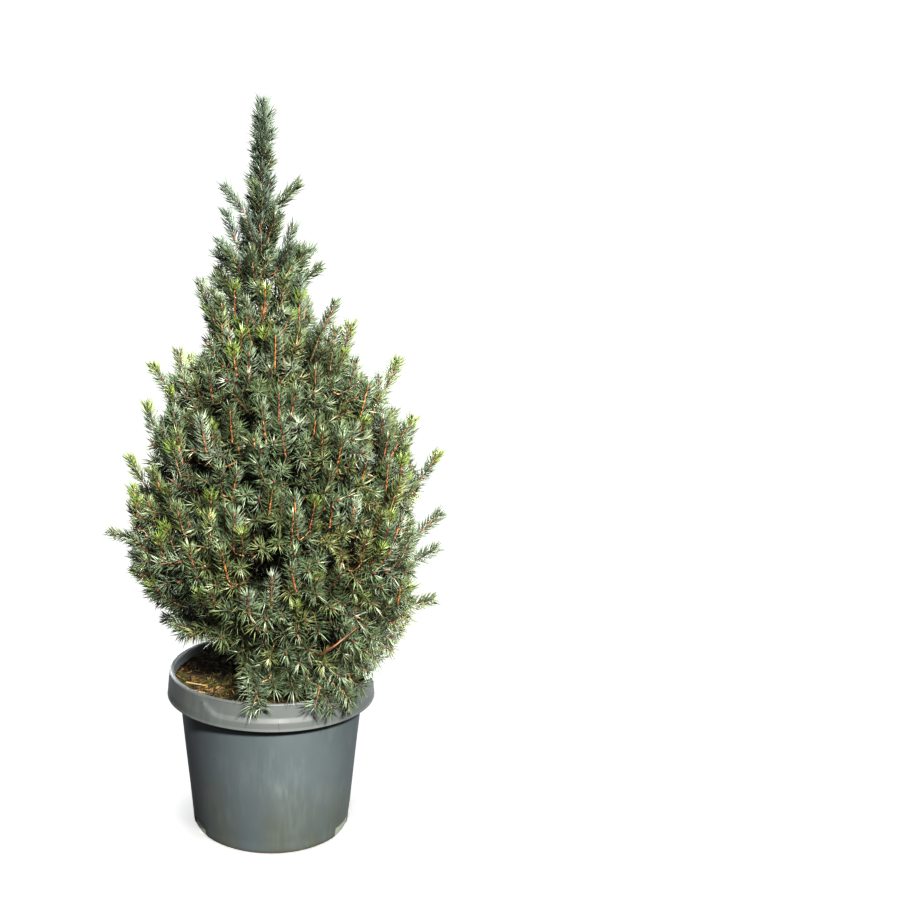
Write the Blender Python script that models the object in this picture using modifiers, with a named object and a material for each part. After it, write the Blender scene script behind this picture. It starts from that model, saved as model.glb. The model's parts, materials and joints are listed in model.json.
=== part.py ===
# Potted blue spruce: a dwarf conifer in a round nursery pot.
# Metres, +Z up. The origin is the centre of the pot's flat underside, and the
# ground is the plane Z = 0. The front of the plant looks along -Y.
import math

import bmesh
import bpy
from mathutils import Vector, noise
from mathutils.bvhtree import BVHTree

# Pot
POT_HEIGHT = 0.176
LIP_RADIUS = 0.1125          # outside of the lip
LIP_WIDTH = 0.0045           # the lip is thicker than the wall
LIP_DEPTH = 0.009            # height of the lip's thick part
LIP_TAPER = 0.0005           # the opening narrows by this much over the lip's depth
LIP_BEVEL = 0.001
LIP_DROP = 0.002             # rounding of the lip's outer edge
COLLAR_RADIUS = 0.115        # overhanging lower edge of the collar
COLLAR_BOTTOM = 0.148
COLLAR_BAND = 0.009          # height of the collar's nearly upright lower band
COLLAR_SLOPE = 0.004         # height over which it slopes in above the band
COLLAR_DRAFT = 0.0003
COLLAR_LEAN = 0.0006         # the collar widens by this much from lip to slope
COLLAR_WALL = 0.004
UNDERCUT_DEPTH = 0.004       # how far the recess under the collar goes up
UNDERCUT_DRAFT = 0.001
BODY_NECK = 0.0008           # the body thickens by this much inside the recess
BODY_TOP_RADIUS = 0.102
BASE_RADIUS = 0.0874
WALL = 0.003
FLOOR = 0.003
BASE_ROUND = 0.002
BASE_FLARE = 0.0002
POT_STEPS = 48
NOTCH_ANGLES = (-156, -24, 24, 156)    # degrees from +X, drain notches in the foot
NOTCH_WIDTH = 0.034
NOTCH_HEIGHT = 0.008
NOTCH_DEPTH = 0.0045

# Soil
SOIL_LEVEL = 0.166
SOIL_FLAT_RADIUS = 0.045     # flat round the trunk, then falling to the wall
SOIL_FALL = 0.0015
SOIL_SIDE_GAP = 0.0005       # clearance to the pot's wall
GAP = 0.0003                 # clearance between neighbouring pieces

# Trunk
PLANT_HEIGHT = 0.789         # ground to the highest needles
TRUNK_TOP = 0.776
TRUNK_RADIUS = 0.0112        # above the root flare
TRUNK_TIP_RADIUS = 0.0011
TRUNK_TAPER = 0.85           # below 1 keeps the trunk thick for longer
FLARE_RADIUS = 0.0165
FLARE_HEIGHT = 0.020
FLARE_LOBES = 5
FLARE_LOBE_DEPTH = 0.12      # share of the radius
LEAN = -0.008                # the tip stands this far to the left of the foot
SWAY = 0.0050                # gentle double bend along the way
SWAY_DEPTH = 0.6             # front-to-back share of the bend
TRUNK_RINGS = 14
TRUNK_RING_CROWDING = 1.35   # above 1 puts more rings near the foot
TRUNK_BEVEL = 3              # resolution of the round section
TRUNK_CUT_MARGIN = 0.0006

# Crown: height above the ground, radius of the foliage without its projecting
# shoots, and how far its centre lies to the right of the trunk. The skirt hangs
# further out on the right, and clears the soil by more at the left front.
CROWN = ((0.180, 0.092, 0.018), (0.205, 0.114, 0.021), (0.235, 0.130, 0.021),
         (0.270, 0.148, 0.014), (0.305, 0.157, 0.007), (0.345, 0.157, 0.007),
         (0.385, 0.148, 0.009), (0.425, 0.138, 0.011), (0.465, 0.123, 0.008),
         (0.500, 0.100, 0.008), (0.530, 0.076, 0.009), (0.560, 0.060, 0.005),
         (0.595, 0.046, 0.0), (0.630, 0.041, 0.0), (0.660, 0.036, 0.0),
         (0.684, 0.027, 0.0), (0.700, 0.018, 0.0), (0.716, 0.0138, 0.0),
         (0.745, 0.0135, 0.0), (0.765, 0.0115, 0.0), (0.780, 0.0075, 0.0),
         (PLANT_HEIGHT, 0.0022, 0.0))
CROWN_BOTTOM = 0.180
CROWN_BARE_RISE = 0.020      # extra clearance over the soil at the left front
CROWN_BARE_ANGLE = 205
CROWN_UNEVEN = 0.09          # share of the radius
CROWN_LUMP = 0.045           # size of the uneven lumps
OUTLINE_STEP = 0.002         # how finely the crown's outline is found

# Masses of foliage: name, count, height of centres, distance of centres from
# the trunk, first azimuth, bare radius round the trunk
TIERS = (("skirt", 5, 0.232, 0.088, -72, 0.034),
         ("belt", 6, 0.320, 0.108, -40, 0.042),
         ("middle", 5, 0.413, 0.086, 0, 0.036),
         ("shoulder", 4, 0.497, 0.060, -50, 0.024))
SHEATHS = (("neck_mass", 0.551, 0.6255), ("spire_mass", 0.6285, 0.6985),
           ("leader_mass", 0.7015, PLANT_HEIGHT))
MASS_LIFT = 0.010            # how far masses of one tier rise and fall
MASS_LIFT_TURN = 2.4         # radians of that wave from one mass to the next
MASS_LIFT_SHIFT = 9          # and per metre from one tier to the next
MASS_GAP = 0.004             # air between neighbouring masses
MASS_SEGMENTS = 14
MASS_RINGS = 8
MASS_ROUNDING = 14           # higher is more angular
MASS_LUMP = 0.13             # depth of the hollows between tufts, share of the radius
MASS_LUMP_SCALE = 2.7        # tufts across a mass
FACING_LEAST = 0.01          # walls turned further away than this do not bound a mass
SHEATH_ROUNDING = 0.14       # share of a sheath's length over which its ends round off
SHEATH_END = 0.04            # keeps the ends of a sheath from closing to a point
SHEATH_BEVEL = 3
SHEATH_RINGS = 9
FOLIAGE_SMOOTH = 60          # degrees
BARK_SMOOTH = 50

# Boughs: one for each mass of the lower four tiers
BOUGH_RISE = 0.034           # how far below its mass a bough leaves the trunk
BOUGH_RADIUS = 0.0046
BOUGH_TAPER = 0.55           # radius at the end, as a share
BOUGH_BEND_OUT = 0.035       # the bend in a bough: how far out from its root
BOUGH_BEND_UP = 0.010        # and how far above it
BOUGH_RINGS = 6
BOUGH_BEVEL = 2

# Projecting shoots: name, azimuth, height of the tip, distance of the tip from
# the trunk line, length, and lean from the vertical in degrees
SHOOTS = (("spire_right", 0, 0.6975, 0.037, 0.034, 42),
          ("spire_left", 180, 0.6955, 0.037, 0.032, 34),
          ("neck_right", 4, 0.631, 0.053, 0.030, 34),
          ("neck_left", 172, 0.598, 0.066, 0.040, 14),
          ("shoulder_right", -8, 0.576, 0.076, 0.046, 22),
          ("upper_left", 178, 0.510, 0.121, 0.042, 30),
          ("upper_right", 3, 0.515, 0.142, 0.050, 20),
          ("outer_right", -5, 0.417, 0.181, 0.050, 28),
          ("outer_left", 183, 0.411, 0.150, 0.046, 24),
          ("low_left", 177, 0.326, 0.177, 0.036, 70),
          ("low_right", 2, 0.347, 0.187, 0.045, 42),
          ("back_upper", 96, 0.505, 0.128, 0.045, 24),
          ("back_outer", 84, 0.402, 0.168, 0.045, 30),
          ("rim_front", -52, 0.171, 0.131, 0.040, 138))
SHOOT_RADIUS = 0.0085
SHOOT_TIP = 0.35             # radius at the tip, as a share
SHOOT_BLUNTNESS = 3          # higher keeps a shoot thick until nearer its tip
SHOOT_RINGS = 5
SHOOT_BEVEL = 1
TOUCH = 0.0006               # a limb or shoot stops this close to a mass
TOUCH_STEP = 0.0002          # how finely that place is found
TRIAL_BEVEL = 2


def clear_scene():
    for old in list(bpy.data.objects):
        bpy.data.objects.remove(old, do_unlink=True)


def make_collection(name):
    collection = bpy.data.collections.new(name)
    bpy.context.scene.collection.children.link(collection)
    return collection


def make_material(name, colour, roughness, metallic=0.0):
    material = bpy.data.materials.new(name)
    material.use_nodes = True
    shader = material.node_tree.nodes["Principled BSDF"]
    shader.inputs["Base Color"].default_value = (*colour, 1.0)
    shader.inputs["Roughness"].default_value = roughness
    shader.inputs["Metallic"].default_value = metallic
    return material


def crown_at(height, column):
    """Reads a column of the crown table, with straight steps between its rows."""
    if height <= CROWN[0][0]:
        return CROWN[0][column]
    for low, high in zip(CROWN, CROWN[1:]):
        if height <= high[0]:
            share = (height - low[0]) / (high[0] - low[0])
            return low[column] + (high[column] - low[column]) * share
    return CROWN[-1][column]


def crown_radius(height):
    return crown_at(height, 1)


def polar(azimuth, radius, height=0.0):
    angle = math.radians(azimuth)
    return Vector((radius * math.cos(angle), radius * math.sin(angle), height))


# Mesh helpers
def mesh_object(name, mesh, material, collection, smooth_angle=None):
    mesh.materials.clear()
    mesh.materials.append(material)
    if smooth_angle is not None:
        mesh.shade_smooth()
        mesh.set_sharp_from_angle(angle=math.radians(smooth_angle))
    made = bpy.data.objects.new(name, mesh)
    collection.objects.link(made)
    return made


def turned(name, profile, material, collection):
    """Turns an outline of (radius, height) points once round the Z axis."""
    mesh = bpy.data.meshes.new(name)
    edges = [(index, index + 1) for index in range(len(profile) - 1)]
    mesh.from_pydata([(radius, 0.0, height) for radius, height in profile], edges, [])
    made = mesh_object(name, mesh, material, collection)
    screw = made.modifiers.new("turn", "SCREW")
    screw.steps = POT_STEPS
    screw.render_steps = POT_STEPS
    screw.use_merge_vertices = True
    screw.merge_threshold = 0.00005
    screw.use_smooth_shade = True
    return made


def tapered_tube(name, points, radii, resolution):
    """A closed round bar through the points, as a welded mesh."""
    curve = bpy.data.curves.new(name, "CURVE")
    curve.dimensions = "3D"
    curve.bevel_depth = 1.0
    curve.bevel_resolution = resolution
    curve.use_fill_caps = True
    curve.twist_mode = "MINIMUM"
    spline = curve.splines.new("POLY")
    spline.points.add(len(points) - 1)
    for point, place, radius in zip(spline.points, points, radii):
        point.co = (*place, 1.0)
        point.radius = radius
    guide = bpy.data.objects.new(name, curve)
    bpy.context.scene.collection.objects.link(guide)
    bpy.context.view_layer.update()
    evaluated = guide.evaluated_get(bpy.context.evaluated_depsgraph_get())
    mesh = bpy.data.meshes.new_from_object(evaluated)
    bpy.data.objects.remove(guide, do_unlink=True)
    bpy.data.curves.remove(curve)
    weld = bmesh.new()
    weld.from_mesh(mesh)
    bmesh.ops.remove_doubles(weld, verts=weld.verts, dist=0.00001)
    weld.to_mesh(mesh)
    weld.free()
    mesh.name = name
    return mesh


def make_cutter(name, mesh, collection):
    cutter = bpy.data.objects.new(name, mesh)
    collection.objects.link(cutter)
    cutter.hide_render = True
    cutter.display_type = "WIRE"
    return cutter


def cut(target, cutter):
    boolean = target.modifiers.new("cut_" + cutter.name, "BOOLEAN")
    boolean.operation = "DIFFERENCE"
    boolean.solver = "EXACT"
    boolean.object = cutter


# Pot and soil
def inner_radius(height):
    """Radius of the pot's inside at a height."""
    share = height / COLLAR_BOTTOM
    wall_line = BASE_RADIUS + (BODY_TOP_RADIUS - BASE_RADIUS) * share - WALL
    return min(wall_line, LIP_RADIUS - LIP_WIDTH)


def build_pot(material, parts, cutters):
    inner_lip = LIP_RADIUS - LIP_WIDTH
    collar_inside = COLLAR_RADIUS - COLLAR_WALL
    band_top = COLLAR_BOTTOM + COLLAR_BAND
    recess_top = COLLAR_BOTTOM + UNDERCUT_DEPTH
    profile = [(0.0, FLOOR),
               (inner_radius(FLOOR), FLOOR),
               (inner_radius(COLLAR_BOTTOM), COLLAR_BOTTOM),
               (inner_lip - LIP_TAPER, POT_HEIGHT - LIP_DEPTH),
               (inner_lip, POT_HEIGHT - LIP_BEVEL),
               (inner_lip + LIP_BEVEL, POT_HEIGHT),
               (LIP_RADIUS - LIP_BEVEL, POT_HEIGHT),
               (LIP_RADIUS, POT_HEIGHT - LIP_DROP),
               (LIP_RADIUS + COLLAR_LEAN, band_top + COLLAR_SLOPE),
               (COLLAR_RADIUS - COLLAR_DRAFT, band_top),
               (COLLAR_RADIUS, COLLAR_BOTTOM),
               (collar_inside, COLLAR_BOTTOM),
               (collar_inside - UNDERCUT_DRAFT, recess_top),
               (BODY_TOP_RADIUS + BODY_NECK, recess_top),
               (BODY_TOP_RADIUS, COLLAR_BOTTOM),
               (BASE_RADIUS + BASE_FLARE, BASE_ROUND),
               (BASE_RADIUS - BASE_ROUND, 0.0),
               (0.0, 0.0)]
    pot = turned("pot", profile, material, parts)
    for index, azimuth in enumerate(NOTCH_ANGLES):
        mesh = bpy.data.meshes.new("notch")
        shape = bmesh.new()
        bmesh.ops.create_cube(shape, size=1.0)
        bmesh.ops.scale(shape, verts=shape.verts,
                        vec=(2 * NOTCH_DEPTH, NOTCH_WIDTH, 2 * NOTCH_HEIGHT))
        shape.to_mesh(mesh)
        shape.free()
        cutter = make_cutter(f"notch_{index + 1}", mesh, cutters)
        cutter.location = polar(azimuth, BASE_RADIUS)
        cutter.rotation_euler = (0.0, 0.0, math.radians(azimuth))
        cut(pot, cutter)
    return pot


def build_soil(material, parts):
    bottom = FLOOR + GAP
    top_radius = inner_radius(COLLAR_BOTTOM) - SOIL_SIDE_GAP
    profile = [(0.0, SOIL_LEVEL),
               (SOIL_FLAT_RADIUS, SOIL_LEVEL),
               (top_radius, SOIL_LEVEL - SOIL_FALL),
               (top_radius, COLLAR_BOTTOM),
               (inner_radius(bottom) - SOIL_SIDE_GAP, bottom),
               (0.0, bottom)]
    return turned("soil", profile, material, parts)


# Trunk
def trunk_share(height):
    return (height - SOIL_LEVEL) / (TRUNK_TOP - SOIL_LEVEL)


def trunk_axis(height):
    """Centre of the trunk at a height: a lean to the left and a double bend."""
    share = max(trunk_share(height), 0.0)
    bend = SWAY * math.sin(2 * math.pi * share) * share
    return Vector((LEAN * share + bend, SWAY_DEPTH * bend, height))


def trunk_radius(height):
    share = min(max(trunk_share(height), 0.0), 1.0)
    taper = (1 - share) ** TRUNK_TAPER
    radius = TRUNK_TIP_RADIUS + (TRUNK_RADIUS - TRUNK_TIP_RADIUS) * taper
    flare = max(0.0, 1 - (height - SOIL_LEVEL) / FLARE_HEIGHT)
    return radius + (FLARE_RADIUS - TRUNK_RADIUS) * flare ** 2


def trunk_mesh(name, extra):
    """The trunk as a mesh, thicker by `extra` and longer by it at both ends."""
    bottom = SOIL_LEVEL + GAP - extra
    top = TRUNK_TOP + extra
    points = []
    radii = []
    for index in range(TRUNK_RINGS):
        share = index / (TRUNK_RINGS - 1)
        height = bottom + (top - bottom) * share ** TRUNK_RING_CROWDING
        place = trunk_axis(height)
        if index == 1:
            place.x, place.y = points[0].x, points[0].y
        points.append(place)
        radii.append(trunk_radius(height) + extra)
    mesh = tapered_tube(name, points, radii, TRUNK_BEVEL)
    for vertex in mesh.vertices:
        flare = 1 - (vertex.co.z - SOIL_LEVEL) / FLARE_HEIGHT
        if flare > 0:
            angle = math.atan2(vertex.co.y, vertex.co.x)
            lobe = 1 + FLARE_LOBE_DEPTH * min(flare, 1.0) * math.cos(FLARE_LOBES * angle)
            vertex.co.x *= lobe
            vertex.co.y *= lobe
    return mesh


# Crown
def crown_centre(height):
    """Centre of the crown's outline at a height."""
    return trunk_axis(height) + Vector((crown_at(height, 2), 0.0, 0.0))


def crown_bottom(azimuth):
    bare = max(0.0, math.cos(azimuth - math.radians(CROWN_BARE_ANGLE)))
    return CROWN_BOTTOM + CROWN_BARE_RISE * bare ** 2


def inside_crown(place):
    out = place - crown_centre(place.z)
    azimuth = math.atan2(out.y, out.x)
    if place.z < crown_bottom(azimuth):
        return False
    lump = noise.noise(place / CROWN_LUMP)
    radius = crown_radius(place.z) * (1 + CROWN_UNEVEN * lump)
    return math.hypot(out.x, out.y) < radius


def distance_to_outline(centre, direction):
    distance = OUTLINE_STEP
    while inside_crown(centre + direction * distance):
        distance += OUTLINE_STEP
    return distance - OUTLINE_STEP / 2


def mass_seeds():
    """Centres of the masses: (name, centre, direction from the trunk, bare radius)."""
    seeds = []
    for tier, count, height, ring, first, bare in TIERS:
        for index in range(count):
            azimuth = first + 360 * index / count
            direction = polar(azimuth, 1.0)
            wave = math.sin(MASS_LIFT_TURN * index + MASS_LIFT_SHIFT * height)
            centre = crown_centre(height) + direction * ring
            centre.z += MASS_LIFT * wave
            seeds.append((f"{tier}_mass_{index + 1}", centre, direction, bare))
    return seeds


def mass_walls(index, seeds):
    """Half-spaces that bound one mass, as (point, outward normal)."""
    _, centre, direction, bare = seeds[index]
    walls = []
    for other, (_, neighbour, _, _) in enumerate(seeds):
        if other != index:
            normal = (neighbour - centre).normalized()
            middle = (neighbour + centre) / 2
            walls.append((middle - normal * MASS_GAP / 2, normal))
    walls.append((trunk_axis(centre.z) + direction * bare, -direction))
    lowest_sheath = SHEATHS[0][1]
    walls.append((Vector((0.0, 0.0, lowest_sheath - MASS_GAP)), Vector((0.0, 0.0, 1.0))))
    return walls


def mass_reach(centre, direction, walls):
    """Distance from the centre to the mass's surface, rounded where walls meet."""
    limits = [distance_to_outline(centre, direction)]
    for point, normal in walls:
        facing = direction.dot(normal)
        if facing > FACING_LEAST:
            limits.append((point - centre).dot(normal) / facing)
    return sum(limit ** -MASS_ROUNDING for limit in limits) ** (-1 / MASS_ROUNDING)


def build_masses(material, parts):
    masses = {}
    seeds = mass_seeds()
    for index, (name, centre, _, _) in enumerate(seeds):
        walls = mass_walls(index, seeds)
        mesh = bpy.data.meshes.new(name)
        shape = bmesh.new()
        bmesh.ops.create_uvsphere(shape, u_segments=MASS_SEGMENTS, v_segments=MASS_RINGS,
                                  radius=1.0)
        for vertex in shape.verts:
            direction = vertex.co.normalized()
            reach = mass_reach(centre, direction, walls)
            tuft = noise.noise(direction * MASS_LUMP_SCALE + centre / CROWN_LUMP)
            vertex.co = centre + direction * reach * (1 - MASS_LUMP * abs(tuft))
        bmesh.ops.triangulate(shape, faces=shape.faces)
        shape.to_mesh(mesh)
        shape.free()
        masses[name] = mesh_object(name, mesh, material, parts, FOLIAGE_SMOOTH)
    return masses


def build_sheath(name, low, high, material, parts, trunk_cutter):
    """A sleeve of foliage all round the trunk."""
    points = []
    radii = []
    for index in range(SHEATH_RINGS):
        share = index / (SHEATH_RINGS - 1)
        height = low + (high - low) * share
        from_end = min(share, 1 - share) + SHEATH_END
        points.append(trunk_axis(height))
        radii.append(crown_radius(height) * math.sqrt(min(1.0, from_end / SHEATH_ROUNDING)))
    mesh = tapered_tube(name, points, radii, SHEATH_BEVEL)
    for vertex in mesh.vertices:
        axis = trunk_axis(vertex.co.z)
        lump = 1 + 2 * CROWN_UNEVEN * noise.noise(vertex.co / (CROWN_LUMP / 2))
        vertex.co.x = axis.x + (vertex.co.x - axis.x) * lump
        vertex.co.y = axis.y + (vertex.co.y - axis.y) * lump
    sheath = mesh_object(name, mesh, material, parts, FOLIAGE_SMOOTH)
    cut(sheath, trunk_cutter)
    return sheath


# Limbs and shoots
def evaluated_tree(objects):
    """One search tree over the finished surfaces of the objects."""
    bpy.context.view_layer.update()
    depsgraph = bpy.context.evaluated_depsgraph_get()
    vertices = []
    faces = []
    for made in objects:
        mesh = made.evaluated_get(depsgraph).to_mesh()
        base = len(vertices)
        vertices.extend(made.matrix_world @ vertex.co for vertex in mesh.vertices)
        faces.extend([base + corner for corner in polygon.vertices]
                     for polygon in mesh.polygons)
    return BVHTree.FromPolygons(vertices, faces)


def is_clear(tree, points, radii):
    """True where a tube, fatter by the clearance, meets nothing in the tree."""
    mesh = tapered_tube("trial", points, [radius + TOUCH for radius in radii], TRIAL_BEVEL)
    trial = BVHTree.FromPolygons([vertex.co for vertex in mesh.vertices],
                                 [polygon.vertices for polygon in mesh.polygons])
    bpy.data.meshes.remove(mesh)
    return not trial.overlap(tree)


def longest_clear(tree, shape, longest):
    """Longest reach at which shape(reach), as points and radii, meets nothing."""
    clear = 0.0
    blocked = longest
    while blocked - clear > TOUCH_STEP:
        middle = (clear + blocked) / 2
        if is_clear(tree, *shape(middle)):
            clear = middle
        else:
            blocked = middle
    return clear - TOUCH


def bough_path(centre, direction):
    """Start, bend and end of a bough that leaves the trunk below its mass."""
    start = trunk_axis(centre.z - BOUGH_RISE)
    bend = start + direction * BOUGH_BEND_OUT + Vector((0.0, 0.0, BOUGH_BEND_UP))
    return start, bend, centre


def along(path, share):
    start, bend, end = path
    return start * (1 - share) ** 2 + bend * 2 * share * (1 - share) + end * share ** 2


def build_boughs(masses, material, parts, trunk_cutter):
    tree = evaluated_tree(masses.values())
    for name, centre, direction, _ in mass_seeds():
        path = bough_path(centre, direction)
        chord = (path[2] - path[0]).length
        radius = BOUGH_RADIUS * trunk_radius(path[0].z) / TRUNK_RADIUS

        def limb(reach):
            shares = [index / (BOUGH_RINGS - 1) for index in range(BOUGH_RINGS)]
            points = [along(path, share * reach / chord) for share in shares]
            return points, [radius * (1 - (1 - BOUGH_TAPER) * share) for share in shares]

        limb_name = name.replace("_mass", "_bough")
        reach = longest_clear(tree, limb, chord)
        mesh = tapered_tube(limb_name, *limb(reach), BOUGH_BEVEL)
        bough = mesh_object(limb_name, mesh, material, parts, FOLIAGE_SMOOTH)
        cut(bough, trunk_cutter)


def build_shoots(masses, material, parts):
    tree = evaluated_tree(masses.values())
    for name, azimuth, height, distance, length, lean in SHOOTS:
        out = polar(azimuth, 1.0)
        tip = trunk_axis(height) + out * distance
        angle = math.radians(lean)
        direction = out * math.sin(angle) + Vector((0.0, 0.0, math.cos(angle)))

        def shoot(reach):
            shares = [index / (SHOOT_RINGS - 1) for index in range(SHOOT_RINGS)]
            points = [tip - direction * reach * (1 - share) for share in shares]
            narrowing = [(1 - SHOOT_TIP) * share ** SHOOT_BLUNTNESS for share in shares]
            return points, [SHOOT_RADIUS * (1 - narrow) for narrow in narrowing]

        reach = longest_clear(tree, shoot, length)
        mesh = tapered_tube(name + "_shoot", *shoot(reach), SHOOT_BEVEL)
        mesh_object(name + "_shoot", mesh, material, parts, FOLIAGE_SMOOTH)


def main():
    clear_scene()
    parts = make_collection("potted_blue_spruce")
    cutters = make_collection("cutters")
    plastic = make_material("pot_plastic", (0.165, 0.195, 0.200), 0.45)
    earth = make_material("soil", (0.045, 0.032, 0.022), 0.95)
    bark = make_material("bark", (0.300, 0.180, 0.100), 0.85)
    needles = make_material("blue_needles", (0.105, 0.165, 0.125), 0.60)

    build_pot(plastic, parts, cutters)
    build_soil(earth, parts)
    mesh_object("trunk", trunk_mesh("trunk", 0.0), bark, parts, BARK_SMOOTH)
    trunk_cutter = make_cutter("trunk_clearance", trunk_mesh("trunk_clearance", TRUNK_CUT_MARGIN),
                               cutters)
    masses = build_masses(needles, parts)
    for name, low, high in SHEATHS:
        masses[name] = build_sheath(name, low, high, needles, parts, trunk_cutter)
    build_boughs(masses, bark, parts, trunk_cutter)
    build_shoots(masses, needles, parts)


main()
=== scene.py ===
import json
import math

import bpy
import numpy as np
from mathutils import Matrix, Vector, noise
from mathutils.bvhtree import BVHTree

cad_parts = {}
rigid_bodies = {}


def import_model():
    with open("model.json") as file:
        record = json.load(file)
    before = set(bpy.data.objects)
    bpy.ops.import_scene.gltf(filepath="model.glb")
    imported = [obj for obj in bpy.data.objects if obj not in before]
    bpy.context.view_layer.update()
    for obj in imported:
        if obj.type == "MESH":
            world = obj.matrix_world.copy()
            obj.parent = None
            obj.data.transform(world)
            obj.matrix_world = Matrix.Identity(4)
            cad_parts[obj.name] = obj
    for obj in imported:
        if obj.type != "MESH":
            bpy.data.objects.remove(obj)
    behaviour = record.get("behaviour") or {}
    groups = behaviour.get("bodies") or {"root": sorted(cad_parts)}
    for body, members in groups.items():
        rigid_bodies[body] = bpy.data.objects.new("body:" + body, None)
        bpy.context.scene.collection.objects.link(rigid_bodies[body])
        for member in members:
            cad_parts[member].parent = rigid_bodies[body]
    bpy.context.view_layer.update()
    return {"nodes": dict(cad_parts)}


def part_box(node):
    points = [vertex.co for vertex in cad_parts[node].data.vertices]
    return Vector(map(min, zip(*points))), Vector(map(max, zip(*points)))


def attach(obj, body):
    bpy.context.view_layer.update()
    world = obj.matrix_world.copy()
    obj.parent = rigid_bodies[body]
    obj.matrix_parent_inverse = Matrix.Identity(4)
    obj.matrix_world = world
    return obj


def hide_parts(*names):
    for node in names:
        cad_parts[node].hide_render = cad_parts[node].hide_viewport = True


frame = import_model()
nodes = frame["nodes"]
up = np.array([0.0, 0.0, 1.0])
goldenTurn = math.radians(137.5)     # from one needle or shoot to the next round a stem


needleLabels = ("aim", "side", "along", "size", "spread")
guideLabels = (*needleLabels, "thick", "way", "wax")


def unit(vectors):
    vectors = np.asarray(vectors, float)
    return vectors / np.maximum(np.linalg.norm(vectors, axis=-1, keepdims=True), 1e-9)


def tableAt(rows, values):
    return np.interp(values, [row[0] for row in rows], [row[1] for row in rows])


# how far a value has come along a span, from 0 to 1
def shareOf(value, start, span):
    return np.clip((value - start) / span, 0, 1)


def smoothStep(low, high, value):
    share = shareOf(value, low, high - low)
    return share * share * (3 - 2 * share)


# a bent path through three or four control points
def bezier(points, count):
    share = np.linspace(0, 1, count)[:, None]
    while len(points) > 1:
        points = [first * (1 - share) + second * share for first, second in zip(points, points[1:])]
    return points[0]


def wave(x, y, z, scale):
    return noise.noise(Vector((x, y, z)) * scale)


def readRows(items, field, width, kind=np.int32):
    rows = np.empty(len(items) * width, kind)
    items.foreach_get(field, rows)
    return rows.reshape(-1, width)


def nodePoints(name):
    return readRows(nodes[name].data.vertices, "co", 3, np.float32).astype(float)


def nodeTriangles(name):
    mesh = nodes[name].data
    mesh.calc_loop_triangles()
    return nodePoints(name)[readRows(mesh.loop_triangles, "vertices", 3)]


def searchTree(names):
    triangles = np.concatenate([nodeTriangles(name) for name in names])
    faces = np.arange(len(triangles) * 3).reshape(-1, 3).tolist()
    return BVHTree.FromPolygons(triangles.reshape(-1, 3).tolist(), faces)


def namesWith(word):
    return sorted(name for name in nodes if word in name)


def newObject(name, mesh, *materials):
    mesh.name = name
    for material in materials:
        mesh.materials.append(material)
    made = bpy.data.objects.new(name, mesh)
    bpy.context.scene.collection.objects.link(made)
    return made


def meshOf(name, points, faces):
    mesh = bpy.data.meshes.new(name)
    mesh.from_pydata([tuple(point) for point in points], [], faces)
    mesh.update()
    return mesh


def triangleCount(piece):
    return int((readRows(piece.data.polygons, "loop_total", 1) - 2).sum())


# quads that join rings of points which follow each other in a list
def ringFaces(first, bands, sides):
    return [(start + i, start + (i + 1) % sides, start + sides + (i + 1) % sides, start + sides + i)
            for start in range(first, first + bands * sides, sides) for i in range(sides)]


def showPiece(piece, slotName, *replaced):
    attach(piece, "root")
    if replaced:
        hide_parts(*replaced)
    print("piece", piece.name, triangleCount(piece), "triangles")


def plainMaterial(name, colour, roughness, specular=0.5):
    material = bpy.data.materials.new(name)
    material.use_nodes = True
    shader = material.node_tree.nodes["Principled BSDF"]
    shader.inputs["Base Color"].default_value = (*colour, 1.0)
    shader.inputs["Roughness"].default_value = roughness
    shader.inputs["Specular IOR Level"].default_value = specular
    return material


def feedShader(tree, label, value):
    tree.links.new(value, tree.nodes["Principled BSDF"].inputs[label])


# adds a node; keywords name its inputs, n0 and n1 count them, values or sockets feed them
def addNode(tree, kind, settings=None, **feeds):
    node = tree.nodes.new(kind)
    for key, value in (settings or {}).items():
        setattr(node, key, value)
    for key, value in feeds.items():
        counted = key[0] == "n" and key[1:].isdigit()
        socket = node.inputs[int(key[1:])] if counted else node.inputs[key.replace("_", " ")]
        if isinstance(value, bpy.types.NodeSocket):
            tree.links.new(value, socket)
        else:
            socket.default_value = value
    return node


# takes one value, or folds several into one
def doMath(tree, operation, first, *others):
    for other in others or (0.0,):
        first = addNode(tree, "ShaderNodeMath", {"operation": operation}, n0=first, n1=other).outputs[0]
    return first


def doVector(tree, operation, first, second=(0.0, 0.0, 0.0), result="Vector"):
    node = addNode(tree, "ShaderNodeVectorMath", {"operation": operation}, n0=first, n1=second)
    return node.outputs[result]


def scaleVector(tree, vector, amount):
    return addNode(tree, "ShaderNodeVectorMath", {"operation": "SCALE"}, n0=vector, Scale=amount).outputs[0]


# runs from first to last while the value runs from low to high
def ramp(tree, value, low, high, first=0.0, last=1.0, kind="LINEAR"):
    return addNode(tree, "ShaderNodeMapRange", {"interpolation_type": kind}, Value=value, From_Min=low,
                   From_Max=high, To_Min=first, To_Max=last).outputs[0]


def objectPlace(tree):
    return addNode(tree, "ShaderNodeTexCoord").outputs["Object"]


def liveOutput(node):
    return next(socket for socket in node.outputs if socket.enabled)


def readAttribute(tree, name, kind="FLOAT"):
    return addNode(tree, "GeometryNodeInputNamedAttribute", {"data_type": kind}, Name=name).outputs[0]


def randomBetween(tree, low, high, seed, step):
    own = doMath(tree, "ADD", seed, step)
    node = addNode(tree, "FunctionNodeRandomValue", {"data_type": "FLOAT"}, Seed=own)
    for socket in node.inputs:
        if socket.enabled and socket.name in ("Min", "Max"):
            socket.default_value = low if socket.name == "Min" else high
    return liveOutput(node)


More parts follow.
